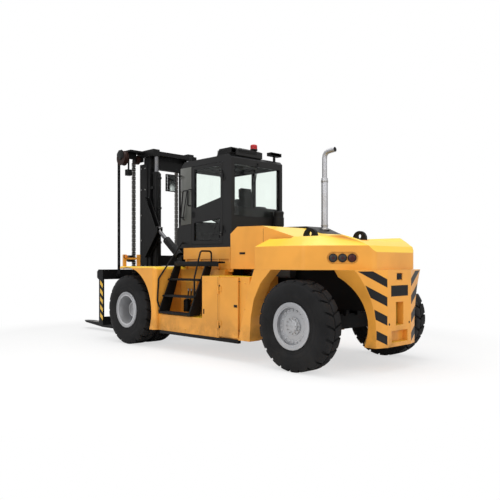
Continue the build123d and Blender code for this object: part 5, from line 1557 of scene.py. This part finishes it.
@dataclass
class CarriageDress:
    """Carriage with hazard striped end plates, and forks with worn tops."""

    end_y: float = 1.44
    stripe_x: Span = (1.053, 1.165)
    stripes: int = 5
    low: float = 0.44
    pitch: float = 0.187
    tall: float = 0.098
    lean: float = 0.085
    fork_y: Span = (0.300, 0.500)

    def _hazard(self) -> None:
        """Make slanting stripes on both end plates."""
        piece = Piece("carriage_warning_stripes", Body.CARRIAGE, Slot.YELLOW, both=True)
        back, front = self.stripe_x
        for index in range(self.stripes):
            z = self.low + self.pitch * index
            corners = [(back, z), (front, z + self.lean), (front, z + self.lean + self.tall), (back, z + self.tall)]
            outline = [(x, self.end_y - 0.003, level) for x, level in corners]
            piece.add(STRIPE_YELLOW, Form.plate(outline, (0.0, 0.0045, 0.0)))
        piece.place()

    def build(self) -> None:
        """Dress carriage and forks."""
        self._hazard()
        for name, body, side in (("left", Body.FORK_LEFT, 1), ("right", Body.FORK_RIGHT, -1)):
            fork = Piece("fork_wear_" + name, body, Slot.STEEL)
            y = tuple(side * edge for edge in self.fork_y)
            fork.add(WORN, Form.block((1.50, 3.20), y, (0.205, 0.2106)).bevel(0.0003, 1))
            fork.place()


@dataclass
class ChassisDress:
    """Chassis: jars, valve blocks and hoses behind the stairs, and the ribbed apron under the cab."""

    jars_x: Row = (-2.05, -1.72, -1.39)
    hoses_x: Row = (-2.22, -2.10, -1.98, -1.62, -1.50, -1.40)
    ribs_x: Row = (-2.53, -2.20, -1.62, -1.16)

    def build(self) -> None:
        """Make the small machinery that shows past the stairs."""
        piece = Piece("side_machinery", Body.CHASSIS, Slot.YELLOW)
        jar = [(0.0, 0.0), (0.0, 0.07), (0.02, 0.075), (0.22, 0.075), (0.25, 0.06), (0.27, 0.03), (0.27, 0.0)]
        for x in self.jars_x:
            piece.add(BLACK, Form.lathe(jar, (x, 0.90, 0.76), UP, 28))
            piece.add(STEEL, hex_bolt((x, 0.90, 1.03), UP, 0.014))
        piece.add(
            YELLOW, Form.block((-2.30, -1.90), (0.805, 0.93), (1.20, 1.42)).bevel(0.008),
            Form.block((-1.70, -1.34), (0.805, 0.90), (1.24, 1.40)).bevel(0.008),
        )
        for x in self.hoses_x:
            hose = [(x, 0.87, 1.22), (x, 0.88, 1.12), (x + 0.02, 0.88, 1.04), (x + 0.04, 0.86, 0.96)]
            piece.add(HOSE, Form.pipe(hose, 0.013))
            piece.add(STEEL, Form.rod((x, 0.87, 1.235), (x, 0.87, 1.19), 0.018, 6))
        apron = Form.block((-2.60, -1.10), (0.700, 0.718), (1.60, 1.856)).bevel(0.003)
        ribs = [Form.block(around(x, 0.02), (0.716, 0.746), (1.645, 1.852)).bevel(0.004) for x in self.ribs_x]
        piece.add(YELLOW, apron, *ribs, both=True)
        piece.place()


@dataclass
class Studio:
    """Pale floor, soft light and the camera."""

    floor_reach: float = 60.0
    near: float = 3.0
    far: float = 7.5
    veil: float = 0.62
    ambient: float = 0.42
    lights: tuple[tuple[str, Row, Row, float, float], ...] = (
        ("top_box", (-1.0, 1.0, 11.0), (0.0, 0.0, 1.0), 12.0, 1000.0),
        ("side_box_light", (-6.0, 12.0, 7.0), (0.0, 0.0, 1.2), 8.0, 430.0),
        ("rear_box_light", (-13.0, 1.0, 6.0), (-3.0, 0.0, 1.2), 7.0, 290.0),
    )
    camera_at: Row = (-10.118, 8.742, 1.781)
    camera_heading: float = 44.52
    lens: float = 43.15
    shift_up: float = 0.0251

    def build(self) -> None:
        """Make the floor, the lights, the world and the camera."""
        self._floor()
        self._lights()
        self._world()
        self._camera()

    def _floor(self) -> None:
        """White floor that keeps the shadow near the truck and fades into the backdrop."""
        mesh = bpy.data.meshes.new("floor")
        shape = bmesh.new()
        bmesh.ops.create_circle(shape, cap_ends=True, radius=self.floor_reach, segments=64)
        shape.to_mesh(mesh)
        shape.free()
        floor = bpy.data.objects.new("floor", mesh)
        bpy.context.scene.collection.objects.link(floor)
        made = bpy.data.materials.new("floor_white")
        made.use_nodes = True
        graph, nodes = Graph(made.node_tree), made.node_tree.nodes
        shader = nodes["Principled BSDF"]
        graph.fill(shader, Base_Color=(0.92, 0.92, 0.92), Roughness=0.9, Specular_IOR_Level=0.0)
        reach = graph.add("VectorMath", operation="LENGTH", Vector=graph.place())
        white = graph.math("MAXIMUM", graph.ramp(reach.outputs["Value"], self.near, self.far), self.veil)
        seen = graph.math("MULTIPLY", white, graph.add("LightPath").outputs["Is Camera Ray"])
        glow = graph.add("Emission", Strength=1.0).outputs["Emission"]
        blend = graph.add("MixShader", Fac=seen)
        for end, part in zip(blend.inputs[1:], (shader.outputs["BSDF"], glow)):
            graph.feed(end, part)
        graph.feed(nodes["Material Output"].inputs["Surface"], blend.outputs["Shader"])
        mesh.materials.append(made)

    def _lights(self) -> None:
        """Soft boxes above and beside the camera."""
        for name, place, target, size, power in self.lights:
            lamp = bpy.data.lights.new(name, "AREA")
            lamp.size = size
            lamp.energy = power
            obj = bpy.data.objects.new(name, lamp)
            obj.location = place
            obj.rotation_euler = (Vector(target) - Vector(place)).to_track_quat("-Z", "Y").to_euler()
            bpy.context.scene.collection.objects.link(obj)

    def _world(self) -> None:
        """White backdrop for the eye and for reflections, softer light for the surfaces."""
        world = bpy.data.worlds.new("studio")
        world.use_nodes = True
        bpy.context.scene.world = world
        graph = Graph(world.node_tree)
        light = graph.add("LightPath").outputs
        seen = graph.math("MAXIMUM", light["Is Camera Ray"], light["Is Transmission Ray"])
        seen = graph.math("MAXIMUM", seen, light["Is Glossy Ray"])
        strength = graph.math("MULTIPLY_ADD", seen, 1.0 - self.ambient, self.ambient)
        graph.fill(world.node_tree.nodes["Background"], Color=(1.0, 1.0, 1.0), Strength=strength)

    def _camera(self) -> None:
        """Camera at the photograph's standing point."""
        data = bpy.data.cameras.new("photo_camera")
        data.sensor_width = 36.0
        data.lens = self.lens
        data.shift_y = self.shift_up
        data.clip_end = 300.0
        camera = bpy.data.objects.new("photo_camera", data)
        camera.location = self.camera_at
        camera.rotation_euler = (math.radians(90.0), 0.0, math.radians(-self.camera_heading - 90.0))
        bpy.context.scene.collection.objects.link(camera)
        bpy.context.scene.camera = camera


def main() -> None:
    """Dress the truck and set the stage."""
    logging.basicConfig(level=logging.INFO, format="%(name)s: %(message)s")
    bpy.context.scene.view_settings.view_transform = "Standard"
    dress_packed_parts()
    builders = (
        TyreSet(), RimDress(), RearCasting(), SideDress(), HoodDress(), CabDress(), SeatPads(), StairDress(),
        FenderDress(), MastDress(), LiftChains(), CarriageDress(), ChassisDress(), Studio(),
    )
    for builder in builders:
        LOG.info("building %s", type(builder).__name__)
        builder.build()


if __name__ == "__main__":
    main()
